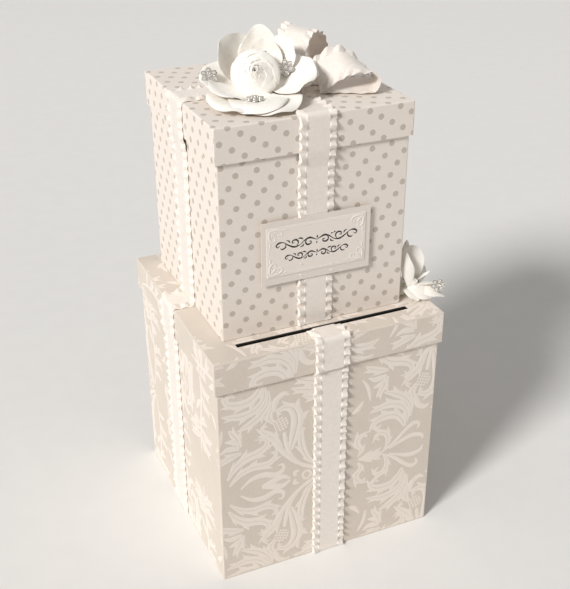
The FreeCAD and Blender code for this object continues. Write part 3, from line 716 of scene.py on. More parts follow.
def ruffled(middle, across, out, seed, width=1.0, fullness=1.0, rim=1.0):
    """A ruffled ribbon along middle points: a flat centre and two edges pleated to and fro.

    rim is how far the very edge stands up: 1 is as far as its pleats, 0 is flat."""
    along = distances(middle)
    stations = across_stations()
    reach = np.maximum(np.abs(stations) - RIBBON_FLAT / 2, 0)
    height = np.full((len(along), len(stations)), RUFFLE_LEVEL)
    aside = np.repeat(stations[None], len(along), 0)
    for edge, slant in RUFFLE_SLANTS:
        wave = gathers(along[-1], seed + (edge > 0))
        for column in np.nonzero((np.sign(stations) == edge) & (reach > 0))[0]:
            part = reach[column] / reach.max()
            pleat = wave(along + slant * part + RUFFLE_PITCH) * (PLEAT_ROOT + (1 - PLEAT_ROOT) * part)
            stands = np.interp(part, (RIM_FROM, 1), (1, rim))
            height[:, column] = np.maximum(RUFFLE_LEVEL + RUFFLE_SWING * pleat, 0) * stands
            aside[:, column] -= edge * reach[column] * PLEAT_DRAWN * part * pleat
    aside = aside * np.reshape(width, (-1, 1))
    height = height * np.reshape(fullness, (-1, 1)) + LINE_UP
    grid = middle[:, None] + across[:, None] * aside[..., None] + out[:, None] * height[..., None]
    uv = np.stack((np.repeat(along[:, None], len(stations), 1), aside), 2)
    return thin_sheet(grid, RIBBON_THICK, uv), along[-1]


def bent_path(corners):
    """Evenly spaced points along straight runs with rounded corners, and the runs' own normals."""
    corners = [np.array(corner, float) for corner in corners]
    points = [corners[0]]
    for before, corner, after in zip(corners, corners[1:], corners[2:]):
        runs = [other - corner for other in (before, after)]
        turn = min(BEND_RADIUS, *(BEND_SHARE * np.linalg.norm(run) for run in runs))
        start, end = (corner + normed(run) * turn for run in runs)
        for share in np.linspace(0, 1, BEND_STEPS):
            points.append((1 - share) ** 2 * start + 2 * share * (1 - share) * corner + share ** 2 * end)
    points = np.array(points + [corners[-1]])
    places = distances(points)
    even = np.linspace(0, places[-1], int(places[-1] / RIBBON_STEP) + 1)
    line = np.stack([np.interp(even, places, points[:, axis]) for axis in range(points.shape[1])], 1)
    slope = normed(np.gradient(line, axis=0))
    return line, np.stack((-slope[:, 1], slope[:, 0]), 1)


def box_ribbon(node, body, side, corners, seed):
    """A ruffled ribbon on the box, along corners given as (distance outwards, height) on one side."""
    out = SIDES[side]
    across = np.cross(UP, out)
    low, high = corners_of(node)
    line = np.abs(across) * (low + high) / 2
    flat, normal = bent_path(corners)
    middle = line + flat[:, :1] * out + flat[:, 1:] * UP
    away = normal[:, :1] * out + normal[:, 1:] * UP
    sheet, length = ruffled(middle, np.repeat(across[None], len(middle), 0), away, seed, rim=RIM_LAID)
    name = node.replace("ribbon", "ruffled_ribbon")
    made = piece(name, mesh_from(node, *sheet), ribbon_white, body, "ribbon", node, sharp=CREASE)


def box_ribbons():
    """The ribbons up the lower box, over the slotted lid's edge and over the upper box."""
    for index, (side, out) in enumerate(SIDES.items()):
        node = "base_" + side + "_ribbon"
        low, high = corners_of(node)
        wall, edge = LOWER_HIGH[0], RIM_HIGH[0]
        path = ((wall, high[2]), (wall, low[2] + FOOT_UP))
        box_ribbon(node, BOX, side, path, BASE_SEED + 2 * index)
        node = "slot_lid_" + side + "_ribbon"
        axis = int(np.argmax(np.abs(out)))
        inner = min(abs(corner[axis]) for corner in corners_of(node))
        path = ((inner, RIM_HIGH[2]), (edge, RIM_HIGH[2]), (edge, RIM_LOW[2] + FOOT_UP))
        box_ribbon(node, LID, side, path, SLOT_LID_SEED + 2 * index)
    foot = corners_of("upper_front_to_back_ribbon")[0][2] + UPPER_FOOT_UP
    wall = (TIER_HIGH[0] - TIER_LOW[0]) / 2
    edge = (CROWN_HIGH[0] - CROWN_LOW[0]) / 2
    down = [(edge, TOP), (edge, CROWN_LOW[2]), (wall, CROWN_LOW[2] - BRIDGE), (wall, foot)]
    crossing = RIBBON_WIDTH / 2 + CROSSING_ROOM
    climb = [(crossing, TOP + HOP_RISE), (crossing + HOP_RUN, TOP)]
    for node, side, half, seed in (("upper_front_to_back_ribbon", "front", down, FRONT_TO_BACK_SEED),
                                   ("upper_side_to_side_ribbon", "right", climb + down, SIDE_TO_SIDE_SEED)):
        shift = float(np.dot(TIER_MIDDLE, SIDES[side]))
        path = [(shift - s, z) for s, z in half[::-1]] + [(shift + s, z) for s, z in half]
        box_ribbon(node, LID, side, path, seed)


box_ribbons()


# Bow loops: each station is a near-edge point (length, depth, height) and a far-edge point

SIDE_LOOP_AT, SIDE_LOOP_TURN, SIDE_LOOP_SEED = (22.3, -41.5), -22.0, 71
SIDE_LOOP = (
    ((0, 0, 2.5), (-6, 24, 30)), ((11, 0, 10.5), (7, 31, 38)), ((22, 0, 17.5), (20, 33, 40)),
    ((32, 0, 21.5), (31, 36, 35)), ((42, 0, 23.3), (41, 37, 25.5)), ((51, 0, 22), (49, 36, 16.5)),
    ((57, 0, 17.5), (53, 36, 10)), ((58, 0, 11), (53, 36.5, 7)), ((55, -1, 4), (48, 36.5, 6)),
    ((45, -1, 1.4), (38, 36.5, 6)), ((25, 2, 1.2), (20, 38, 6)), ((3, 2, 1.2), (0, 38, 7)),
)
BACK_LOOP_AT, BACK_LOOP_TURN, BACK_LOOP_SEED = (4.9, 0.6), 43.0, 73
BACK_LOOP = (
    ((0, -16, 8), (0, 17, 8)), ((-2, -18, 20), (8, 18, 24)), ((4, -19, 36), (16, 19, 39)),
    ((20, -19, 48), (28, 19, 50)), ((37, -19, 49), (42, 19, 53)), ((52, -19, 43), (54, 19, 46)),
    ((62, -19, 33), (62, 19, 33)), ((66, -19, 20), (66, 19, 20)), ((60, -19, 9), (60, 19, 9)),
    ((44, -19, 6.5), (44, 19, 6.5)), ((22, -19, 6.5), (22, 19, 6.5)), ((4, -19, 6.5), (4, 19, 6.5)),
)
LOOP_STEPS = 420
LYING_FROM, LOOP_FULLNESS = (4.0, 6.5), (0.7, 0.12)


def bow_loop(name, stations, at, turn, seed, node):
    """A loop of ruffled ribbon between a near and a far edge, standing on the upper lid."""
    places = np.linspace(0, len(stations) - 1, LOOP_STEPS)
    cos, sin = math.cos(math.radians(turn)), math.sin(math.radians(turn))
    turning = np.array(((cos, sin, 0), (-sin, cos, 0), (0, 0, 1)))
    near, far = (through([pair[edge] for pair in stations], places) @ turning for edge in (0, 1))
    middle = (near + far) / 2 + np.array((*at, TOP))
    across = far - near
    width = np.linalg.norm(across, axis=1, keepdims=True)
    across = across / width
    out = normed(np.cross(across, np.gradient(middle, axis=0)))
    fullness = np.interp(places, LYING_FROM, LOOP_FULLNESS)
    sheet, length = ruffled(middle, across, out, seed, width[:, 0] / RIBBON_WIDTH, fullness)
    made = piece(name, mesh_from(name, *sheet), ribbon_white, LID, "ribbon", node, sharp=CREASE)


bow_loop("bow_side_ruffled_loop", SIDE_LOOP, SIDE_LOOP_AT, SIDE_LOOP_TURN, SIDE_LOOP_SEED, "bow_side_loop")
bow_loop("bow_back_ruffled_loop", BACK_LOOP, BACK_LOOP_AT, BACK_LOOP_TURN, BACK_LOOP_SEED, "bow_back_loop")


# Flowers: a petal's profile runs from hub to rim as distance from the stem and height over the hub.
# Each row of wrapped petals has a profile, turns round the stem, a half span, a seed and the rim's shape.

PETAL_THICK, BUD_THICK = 0.5, 0.45
PETAL_ROWS, PETAL_COLUMNS, LOOSE_COLUMNS = 26, 31, 25
PETAL_LET_OUT = 1.2
ROUND_FROM = 0.3
HUB_SHARE, HUB_CURVE = 0.62, 0.6
SLOPE_STEP = 0.02
GROWTH, GROWTH_FROM = 1.5, 0.25
BROAD_RIPPLES, FINE_RIPPLES, FINE_RIPPLE_SHARE, RIPPLE_SLANT = 6.5, 11, 0.55, 3
RIPPLED_EDGE, ROLLED_EDGE = 5, 8
SILK_VEINS, SILK_VEIN_HEIGHT = 16, 0.12
OVAL_SHARE = math.pi / 4
BUD_CORE, BUD_FOOT = 1.2, 1.5
BUD_STEPS, BUD_ROWS, BUD_GRAIN = 48, 12, 6
BUD_DIP, BUD_WAVE, BUD_WAVES = 2.4, 0.45, 2.5
BUD_SHAPE = ((0, 0.25, 0.6, 0.85, 1), (0.55, 0.85, 1.0, 0.98, 0.92))
TIGHT = {"ripple": 0.3, "roll": 0.3, "skew": 0.55, "point": 0.2, "droop": 0.28}
CALM = {"ripple": 0.3, "roll": 0.3}
HALF_OPEN = {"ripple": 0.6, "roll": 0.6}
SPREAD = {"ripple": 1.4}
UNDERNEATH = {"ripple": 1.5}

ROSE_BUD = {"widest": 3.4, "low": 5.4, "high": 21.0, "turns": 2.4}
ROSE_INNER = (
    (((1.6, 5.0), (4.6, 8.0), (6.0, 12.0), (5.2, 16.6), (2.2, 20.6)), (40, 165, 285), 84, 100, TIGHT),
    (((2.2, 3.0), (7.0, 5.0), (9.4, 9.5), (8.9, 14.0), (4.7, 18.2)), (5, 95, 185, 275), 74, 110, TIGHT),
    (((2.6, 1.0), (10.0, 2.5), (13.8, 7.5), (13.0, 12.2), (7.3, 16.3)), (50, 140, 230, 320), 76, 120, TIGHT),
)
ROSE_SHELL = (
    (((3.2, -1.0), (12.5, 0.0), (18.0, 5.0), (17.4, 10.2), (10.7, 14.3)), (5, 95, 185, 275), 76, 130, TIGHT),
    (((3.6, -3), (14.5, -2.5), (21.8, 2.5), (21.9, 8.0), (14.8, 12.3)), (50, 140, 230, 320), 74, 140, TIGHT),
)
ROSE_RAISED_SHELL = (
    (((3.6, 1.8), (16.0, 2.0), (26.0, 9.0), (31.0, 21.0), (32.5, 32.0)), (78,), 36, 160, HALF_OPEN),
)
ROSE_OUTER = (
    (((3.6, 0.0), (22.0, -0.2), (38.0, 7.0), (48.0, 13.5), (54.0, 16.5)), (6,), 42, 170, SPREAD),
    (((3.6, 0.0), (22.0, -0.2), (36.0, 5.0), (44.5, 9.5), (49.5, 11.5)), (214,), 38, 180, SPREAD),
    (((3.6, 0.0), (22.0, -0.2), (38.0, 6.0), (50.0, 8.5), (60.0, 6.5)), (270,), 38, 190, SPREAD),
    (((3.6, 0.0), (25.0, 0.4), (35.0, 14.0), (40.0, 28.0), (42.5, 40.5)), (88,), 36, 200,
     {"ripple": 0.9, "roll": 0.8, "point": 0.5}),
    (((3.6, 0.0), (25.0, 0.4), (35.0, 13.0), (39.0, 26.0), (41.0, 37.0)), (133,), 41, 202,
     {"ripple": 0.9, "roll": 0.8, "point": 0.25}),
    (((3.6, 0.0), (25.0, 0.4), (36.0, 13.0), (40.0, 25.0), (42.0, 34.0)), (54,), 27, 205,
     {"ripple": 0.8, "roll": 0.8, "point": 0.4}),
)
ROSE_UNDER = (
    (((3.6, -1.8), (24.0, -3.0), (42.0, 3.5), (53.0, 8.0), (60.0, 9.5)), (32,), 42, 220, UNDERNEATH),
    (((3.6, -1.8), (24.0, -3.0), (40.0, 3.5), (49.5, 8.0), (55.5, 9.5)), (168,), 42, 230, UNDERNEATH),
    (((3.6, -1.8), (24.0, -3.0), (42.0, 2.5), (53.0, 5.5), (61.0, 5.5)), (237, 291), 37, 240, UNDERNEATH),
    (((3.6, -1.8), (25.0, -4.0), (42.0, 3.0), (51.0, 10.0), (57.0, 16.0)), (110,), 36, 250, UNDERNEATH),
)
SIDE_BUD = {"widest": 4.0, "low": 4.6, "high": 14.0, "turns": 2.4}
SIDE_INNER = (
    (((2.0, 1.9), (5.0, 3.4), (7.6, 7.0), (8.0, 11.0), (5.5, 14.5)), (0, 90, 180, 270), 56, 300, CALM),
)
SIDE_OPEN = (
    (((3.6, 0.0), (14.0, 0.8), (25.0, 7.5), (34.0, 16.0), (39.0, 22.0)), (75,), 24, 320, {}),
)
# Loose petals: root, tip, the way that the broad side faces, half width, how pointed and how bowed
SIDE_LOOSE = (
    ((3.3, -8, 3), (-1.6, -8, 42), (0.1, -0.95, 0.3), 6.5, 0.6, 2.0),
    ((6.5, 4, 0), (5.2, 5, 44.5), (0.1, -0.95, 0.3), 12.0, 0.12, 2.0),
    ((0, 9, 2), (0, 12, 47), (0.2, -1, 0.2), 5.5, 0.3, 2.0),
    ((2, -7, 3), (27, -10, -9), (0.34, -0.6, 0.86), 9.0, 0.25, 2.5),
    ((9, -4, 0), (41, -8, -9.5), (0.25, -0.5, 0.85), 7.5, 0.6, 3.0),
    ((4, 4, 0), (26, 4, 15), (-0.53, 0.2, 0.8), 6.5, 0.4, 1.0),
    ((3, 0, 0), (36, -2, 3), (-0.1, 0.3, 0.95), 8.0, 0.3, 2.5),
    ((-3, -6, 0), (13, -17, -9.5), (0.3, -0.3, 0.9), 6.0, 0.35, 1.5),
)
LOOSE_SEED = 330
LOOSE_CUP, LOOSE_RIPPLE, LOOSE_RIPPLES = 1.6, 0.5, 7
SWELL_FROM, SWELL = 0.1, 0.5


def flower_place(hub, turn, tilt=0.0, axis="X"):
    """Where a flower stands: tilted, then turned about the upright, with its hub in place."""
    return (Matrix.Translation(hub) @ Matrix.Rotation(math.radians(turn), 4, "Z")
            @ Matrix.Rotation(math.radians(tilt), 4, axis))


ROSE_TURN, SIDE_TURN = -23.7, -24.0
SIDE_HUB = (107.9, -77.4, 284.3)
ROSE_PLACE = flower_place((-35.5, -27.2, 503.6), ROSE_TURN, 14.0)
HEART_PLACE = flower_place((-36.8, -23.3, 512.6), ROSE_TURN, 60.0)
SIDE_PLACE = flower_place(SIDE_HUB, SIDE_TURN, 48.0, "Y")
SIDE_UPRIGHT = flower_place(SIDE_HUB, SIDE_TURN)


def petal_sheet(points, place, uv, thickness=PETAL_THICK):
    """A sheet of silk from points in a flower's own axes, put where the flower is."""
    matrix = np.array(place)
    return thin_sheet(points @ matrix[:3, :3].T + matrix[:3, 3], thickness, uv)


def rounded_square(columns, point, droop=0.5):
    """Even steps along and across a petal, as they are and drawn in so that its outer corners are round."""
    u = np.linspace(0, 1, PETAL_ROWS)[:, None]
    v = np.linspace(-1, 1, columns)[None]
    outer = np.clip((u - ROUND_FROM) / (1 - ROUND_FROM), 0, 1)
    along, aside = u * np.sqrt(1 - droop * v * v * outer), v * (1 - point * outer ** 2)
    uv = np.stack(np.broadcast_arrays(along, aside / 2 + 0.5), 2)
    return u, np.maximum(np.abs(v), u), along, aside, uv


def wrapped_cut(profile, half_span):
    """The pattern of a wrapped petal: its length from hub to rim, its widest width and its area."""
    line = np.array(profile)
    steps = np.linalg.norm(np.diff(line, axis=0), axis=1)
    widths = 2 * math.radians(half_span) * line[:, 0]
    return steps.sum(), widths.max(), (steps * (widths[:-1] + widths[1:]) / 2).sum()


def petal(profile, turn, half_span, place, seed, ripple=1.0, roll=1.2, point=0.29, skew=1.3, droop=0.5):
    """One silk petal wrapped round the stem: its rim is round, rippled and rolled back a little."""
    phase = np.random.default_rng(seed).uniform(0, 2 * math.pi, 4)
    u, rim, along, aside, uv = rounded_square(PETAL_COLUMNS, point, droop)
    places = (along * (len(profile) - 1)).ravel()
    line = through(profile, places).reshape(*along.shape, 2)
    slope = through(profile, places + SLOPE_STEP) - through(profile, places - SLOPE_STEP)
    slope = normed(slope).reshape(line.shape)
    grown = np.clip(u * GROWTH - GROWTH_FROM, 0, 1)
    fine = np.sin(FINE_RIPPLES * aside + RIPPLE_SLANT * u + phase[2])
    wave = np.sin(BROAD_RIPPLES * aside + phase[1]) + FINE_RIPPLE_SHARE * fine
    edge = (ripple * wave * rim ** RIPPLED_EDGE - roll * rim ** ROLLED_EDGE) * grown
    vein = SILK_VEIN_HEIGHT * np.sin(SILK_VEINS * aside + phase[3]) * u
    lift = skew * aside * np.clip(2 * u, 0, 1) + edge + vein
    radius = line[..., 0] - slope[..., 1] * lift
    height = line[..., 1] + slope[..., 0] * lift
    broad = HUB_SHARE + (1 - HUB_SHARE) * u ** HUB_CURVE
    angle = np.radians(turn + PETAL_LET_OUT * half_span * aside * broad)
    points = np.stack((radius * np.cos(angle), radius * np.sin(angle), height), 2)
    return petal_sheet(points, place, uv), wrapped_cut(profile, half_span)


def loose_petal(root, tip, facing, half_width, point, bow, seed):
    """One silk petal from a root to a tip, broad side towards facing, in the side flower's upright axes."""
    phase = np.random.default_rng(seed).uniform(0, 2 * math.pi, 2)
    root, tip, facing = (np.array(end, float) for end in (root, tip, facing))
    length = np.linalg.norm(tip - root)
    axis = (tip - root) / length
    across = normed(np.cross(facing, axis))
    u, rim, along, aside, uv = rounded_square(LOOSE_COLUMNS, point)
    half = PETAL_LET_OUT * half_width * np.sin(math.pi * (SWELL_FROM + SWELL * along))
    lift = (bow * (1 - (2 * along - 1) ** 2) - LOOSE_CUP * aside ** 2 * u
            + LOOSE_RIPPLE * np.sin(LOOSE_RIPPLES * aside + phase[0]) * rim ** RIPPLED_EDGE * u)
    points = (root + (along * length)[..., None] * axis + (half * aside)[..., None] * across
              + lift[..., None] * np.cross(axis, across))
    cut = (length, 2 * half_width, OVAL_SHARE * length * 2 * half_width)
    return petal_sheet(points, SIDE_UPRIGHT, uv), cut


def bud(place, widest, low, high, turns):
    """A bud of one long petal wound round the stem, its rim waved and lowest at the heart."""
    wind = np.linspace(0, 1, int(BUD_STEPS * turns))
    theta = wind * turns * 2 * math.pi
    share = np.linspace(0, 1, BUD_ROWS)
    around = BUD_CORE + (widest - BUD_CORE) * wind
    top = high - BUD_DIP * (1 - wind) + BUD_WAVE * np.sin(BUD_WAVES * theta)
    radius = around[:, None] * np.interp(share, *BUD_SHAPE)
    height = low + (top[:, None] - low) * share
    points = np.stack((radius * np.cos(theta)[:, None], radius * np.sin(theta)[:, None], height), 2)
    uv = np.stack(np.broadcast_arrays(theta[:, None] / BUD_GRAIN, share[None]), 2)
    wound = turns * math.pi * (BUD_CORE + widest)
    cut = (high - low + BUD_FOOT, wound, (high - low) * wound)
    return petal_sheet(points[:, ::-1], place, uv[:, ::-1], BUD_THICK), cut


def petals(rows, place):
    """The wrapped petals of a flower's rows."""
    return [petal(profile, turn, half_span, place, seed + index, **shape)
            for profile, turns, half_span, seed, shape in rows for index, turn in enumerate(turns)]


def flower_piece(flower, layer, made_petals):
    """One layer of a flower as one piece."""
    node, stem = flower + "_" + layer, flower + "_calyx"
    name = node.replace("bud", "wound_bud").replace("petals", "silk_petals")
    sheets, cuts = zip(*made_petals)
    made = piece(name, mesh_from(name, *joined(sheets)), petal_white, LID, "petal_silk", node)
    return made


def rose():
    """The large rose on the upper lid, and the pieces that its jewels sit on."""
    flower_piece("rose", "bud", [bud(HEART_PLACE, **ROSE_BUD)])
    flower_piece("rose", "inner_petals", petals(ROSE_INNER, HEART_PLACE))
    shell = petals(ROSE_SHELL, HEART_PLACE) + petals(ROSE_RAISED_SHELL, ROSE_PLACE)
    flower_piece("rose", "middle_petals", shell)
    return [flower_piece("rose", "outer_petals", petals(ROSE_OUTER, ROSE_PLACE)),
            flower_piece("rose", "under_petals", petals(ROSE_UNDER, ROSE_PLACE))]


def side_flower():
    """The smaller flower on the right ledge of the slotted lid, and the piece that its jewel sits on."""
    flower_piece("side_flower", "bud", [bud(SIDE_PLACE, **SIDE_BUD)])
    flower_piece("side_flower", "inner_petals", petals(SIDE_INNER, SIDE_PLACE))
    loose = [loose_petal(*shape, LOOSE_SEED + index) for index, shape in enumerate(SIDE_LOOSE)]
    return [flower_piece("side_flower", "outer_petals", petals(SIDE_OPEN, SIDE_PLACE) + loose)]


rose_petals = rose()
side_petals = side_flower()


# Jewels: the CAD model's stones give the places of cut stones in cups, and each jewel has one facing

CUP_RADIUS, CUP_DEPTH, CUP_SIDES, CUP_FOOT = 2.75, 1.8, 14, 0.55
LIP_STEPS, LIP_WIRE, LIP_WIRE_STEPS = 18, 0.3, 6
PRONGS, PRONG_RADIUS, PRONG_RING, PRONG_UP = 6, 0.42, 0.93, 0.3
STONE_RADIUS, STONE_UP = 2.4, 0.1
FACETS, TABLE_SHARE, CROWN_HEIGHT, BACK_DEPTH = 8, 0.55, 0.9, 1.2
MERGE_NEAR = 0.01
SPRAY_STONES = 7
SEAT_REACH, SEAT_SHARE = 12.0, 0.8
PHOTO_RIGHT = np.array((0.915, -0.403, 0.0))
PHOTO_AWAY = np.array((0.403, 0.915, 0.0))
TURNED_TO = UP * 0.35 - PHOTO_AWAY * 0.94
# From left to right, each jewel's move (right, away, up), its lean to the front and its spread
ROSE_JEWELS = (((-3.2, 0, -9.3), 1.0, 1.35), ((-2.3, 0, -4.0), 0.25, 1.35), ((0.4, 0, -4.0), 1.0, 1.3))
SIDE_JEWELS = (((7.4, -2.6, 1.0), 1.0, 1.1),)


def loose_middles(node):
    """The middle of each separate solid in a CAD node's mesh, in millimetres."""
    work = bmesh.new()
    work.from_mesh(frame["nodes"][node].data)
    bmesh.ops.remove_doubles(work, verts=work.verts[:], dist=MERGE_NEAR * MM)
    middles, seen = [], set()
    for start in work.verts:
        if start in seen:
            continue
        group, queue = [], [start]
        seen.add(start)
        while queue:
            vertex = queue.pop()
            group.append(np.array(vertex.co))
            for edge in vertex.link_edges:
                other = edge.other_vert(vertex)
                if other not in seen:
                    seen.add(other)
                    queue.append(other)
        group = np.array(group)
        middles.append((group.min(0) + group.max(0)) / 2 / MM)
    work.free()
    return np.array(middles)


def placed_instances(tree, given, shape):
    """One shape on every point, facing as the point's attribute says."""
    facing = shape_by(tree, "InputNamedAttribute", {"Name": "facing"}, data_type="FLOAT_VECTOR")
    turn = output(tree, "FunctionNodeAlignRotationToVector", {"Vector": facing}, axis="Z")
    points = shape_by(tree, "MeshToPoints", {"Mesh": given["Geometry"]})
    return shape_by(tree, "InstanceOnPoints", {"Points": points, "Instance": shape, "Rotation": turn})


def shifted(tree, shape, up):
    """A shape moved up."""
    return shape_by(tree, "Transform", {"Geometry": shape, "Translation": (0, 0, up)})


def together(tree, shapes):
    """Several shapes as one."""
    join = tree.nodes.new("GeometryNodeJoinGeometry")
    for shape in shapes:
        tree.links.new(shape, join.inputs[0])
    return join.outputs[0]


def cone(tree, sides, top, bottom, depth, fill="NGON"):
    """A cone between two radii."""
    return shape_by(tree, "MeshCone", {"Vertices": sides, "Radius Top": top, "Radius Bottom": bottom,
                                       "Depth": depth}, fill_type=fill)


def cup_nodes(tree, given):
    """A round cup with a rolled lip and six prongs bent over the stone."""
    bowl = cone(tree, CUP_SIDES, CUP_RADIUS, CUP_RADIUS * CUP_FOOT, CUP_DEPTH)
    ring, wire = (shape_by(tree, "CurvePrimitiveCircle", {"Resolution": steps, "Radius": radius})
                  for steps, radius in ((LIP_STEPS, CUP_RADIUS), (LIP_WIRE_STEPS, LIP_WIRE)))
    lip = shape_by(tree, "CurveToMesh", {"Curve": ring, "Profile Curve": wire})
    circle = shape_by(tree, "MeshCircle", {"Vertices": PRONGS, "Radius": CUP_RADIUS * PRONG_RING})
    prong = shape_by(tree, "MeshIcoSphere", {"Radius": PRONG_RADIUS, "Subdivisions": 2})
    prongs = shape_by(tree, "InstanceOnPoints", {"Points": circle, "Instance": prong})
    shape = together(tree, (bowl, shifted(tree, lip, CUP_DEPTH), shifted(tree, prongs, CUP_DEPTH + PRONG_UP)))
    return placed_instances(tree, given, shifted(tree, shape, -CUP_DEPTH))


def stone_nodes(tree, given):
    """A cut stone: a flat table, eight crown facets and a pointed back."""
    crown = cone(tree, FACETS, STONE_RADIUS * TABLE_SHARE, STONE_RADIUS, CROWN_HEIGHT, "NONE")
    table = shape_by(tree, "MeshCircle", {"Vertices": FACETS, "Radius": STONE_RADIUS * TABLE_SHARE},
                     fill_type="NGON")
    back = cone(tree, FACETS, STONE_RADIUS, 0.0, BACK_DEPTH, "NONE")
    shape = together(tree, (crown, shifted(tree, table, CROWN_HEIGHT), shifted(tree, back, -BACK_DEPTH)))
    whole = shape_by(tree, "MergeByDistance", {"Geometry": shape, "Distance": MERGE_NEAR})
    return placed_instances(tree, given, shifted(tree, whole, STONE_UP))


cup_tree = making_tree("jewel cups", {}, cup_nodes)
stone_tree = making_tree("cut stones", {}, stone_nodes)


def spray(back, tops, move, lean, spread):
    """A spray's cup places and facing: the CAD stones nearest its setting, turned a little to the front."""
    stones = tops[np.argsort(np.linalg.norm(tops - back, axis=1))[:SPRAY_STONES]]
    middle = stones.mean(0)
    facing = np.linalg.svd(stones - middle)[2][2]
    facing *= np.sign(facing @ (middle - back))
    turned = Vector(facing + lean * TURNED_TO).normalized()
    rotation = np.array(Vector(facing).rotation_difference(turned).to_matrix())
    shift = move[0] * PHOTO_RIGHT + move[1] * PHOTO_AWAY + move[2] * UP
    return middle + shift + spread * (stones - middle) @ rotation.T, np.array(turned)


def seated(places, facing, silk):
    """Moves a spray's cups along its facing until they sit on the silk."""
    heights = []
    for place in places:
        start = Vector(place + facing * SEAT_REACH)
        hits = [tree.ray_cast(start, Vector(-facing), 2 * SEAT_REACH)[3] for tree in silk]
        heights += [SEAT_REACH - hit for hit in hits if hit is not None]
    return places + facing * (max(heights, default=0.0) + CUP_DEPTH * SEAT_SHARE)


def jewels(name, settings, stones, petal_pieces, shapes):
    """The cups and stones of a flower's jewels, set where the CAD model has them."""
    silk = [BVHTree.FromPolygons([vertex.co / MM for vertex in made.data.vertices],
                                 [face.vertices for face in made.data.polygons]) for made in petal_pieces]
    tops = loose_middles(stones)
    backs = sorted(loose_middles(settings), key=lambda middle: middle @ PHOTO_RIGHT)
    lips, facings = [], []
    for back, shape in zip(backs, shapes):
        places, facing = spray(back, tops, *shape)
        lips += seated(places, facing, silk).tolist()
        facings += [facing] * len(places)
    for label, tree, finish, slot, node, sharp in (
            ("cups", cup_tree, silver, "jewel_metal", settings, SMOOTH_TO),
            ("stones", stone_tree, crystal, "jewel_stone", stones, FACETED)):
        source = bpy.data.meshes.new("jewel places")
        source.from_pydata(lips, [], [])
        attribute = source.attributes.new("facing", "FLOAT_VECTOR", "POINT")
        attribute.data.foreach_set("vector", np.ravel(facings))
        mesh = mesh_by(tree, source, {"Finish": finish})
        mesh.transform(Matrix.Scale(MM, 4))
        work = bmesh.new()
        work.from_mesh(mesh)
        bmesh.ops.recalc_face_normals(work, faces=work.faces[:])
        work.to_mesh(mesh)
        work.free()
        piece(name + "_" + label, mesh, None, LID, slot, node, sharp=sharp)


jewels("rose_cut_jewel", "rose_jewel_settings", "rose_jewel_stones", rose_petals, ROSE_JEWELS)
jewels("side_cut_jewel", "side_jewel_setting", "side_jewel_stones", side_petals, SIDE_JEWELS)


# Tag: embossed corner scrolls on the upper card, and a pen flourish in two rows.
# Strokes are lists of (across, up, half width), a scroll's from the card's corner.

CORNER_SCROLL = (
    ((1.5, 1.8, 0.7), (6, 1.2, 1.3), (11, 1.8, 1.3), (14.5, 4.2, 1.0), (14, 7.2, 0.9), (11, 7.6, 0.8),
     (10.2, 5.6, 0.6)),
    ((1.8, 1.5, 0.7), (1.2, 5.5, 1.3), (1.8, 10, 1.3), (4.2, 13, 1.0), (7.2, 12.4, 0.9), (7.4, 9.8, 0.8),
     (5.6, 9.2, 0.6)),
    ((2.5, 2.5, 0.6), (5.5, 5.2, 1.4), (8.8, 8.0, 0.5)),
    ((14.8, 1.2, 0.5), (18, 2.2, 1.0), (21.5, 1.4, 0.4)),
    ((1.2, 13.4, 0.5), (2.2, 16.5, 1.0), (1.4, 19.5, 0.4)),
    ((4.5, 3.2, 0.4), (8.0, 3.8, 0.8), (9.4, 2.9, 0.4)),
    ((3.2, 4.5, 0.4), (3.8, 7.4, 0.8), (2.9, 8.8, 0.4)),
)
FLOURISH = (
    ((0.0, 0.0, 0.3), (3.5, 1.8, 0.7), (8.0, 3.4, 1.2), (13.0, 1.6, 0.8), (18.0, -2.2, 0.5),
     (24.0, -3.4, 1.1), (30.0, -0.6, 0.8), (35.0, 3.0, 0.5), (40.0, 3.4, 1.1), (43.0, 1.0, 0.8),
     (41.4, -1.2, 0.6), (39.4, 0.4, 0.3)),
    ((10.4, 2.8, 0.3), (12.2, -0.6, 0.8), (10.2, -3.4, 1.1), (6.6, -2.8, 0.8), (6.6, -0.4, 0.6),
     (8.6, -0.8, 0.3)),
    ((21.6, -3.2, 0.3), (19.8, 0.8, 0.8), (22.0, 3.8, 1.1), (25.8, 3.2, 0.8), (25.8, 0.8, 0.6),
     (23.8, 1.2, 0.3)),
    ((33.0, 1.8, 0.3), (33.4, -2.2, 0.9), (36.8, -3.8, 0.8), (38.6, -2.4, 0.3)),
    ((14.6, 3.0, 0.2), (17.0, 4.6, 1.0), (20.4, 4.8, 0.2)),
    ((28.6, 1.4, 0.2), (29.6, 3.6, 0.9), (32.4, 5.0, 0.2)),
    ((13.8, -1.6, 0.2), (15.0, -3.8, 0.9), (18.2, -4.8, 0.2)),
)
FLOURISH_HEART = (
    ((0, 1.6, 0.2), (0.3, 2.8, 0.9), (0, 4.8, 0.2)),
    ((0, -1.6, 0.2), (-0.3, -2.6, 0.7), (0, -4.0, 0.2)),
)
PEN_ROWS = ((6.0, 1.0), (-8.0, 0.78))
PEN_WIDTH, PEN_DOME, PEN_STEPS = 0.85, 0.12, 6
SCROLL_INSET, SCROLL_DOME, SCROLL_STEPS = 1.2, 0.3, 5
BORDER_INSET, BORDER_WIDTH = 2.2, 0.5
ACROSS_FROM, ACROSS_POINTS = 24, 7
UPRIGHT_FROM, UPRIGHT_POINTS = 22, 5


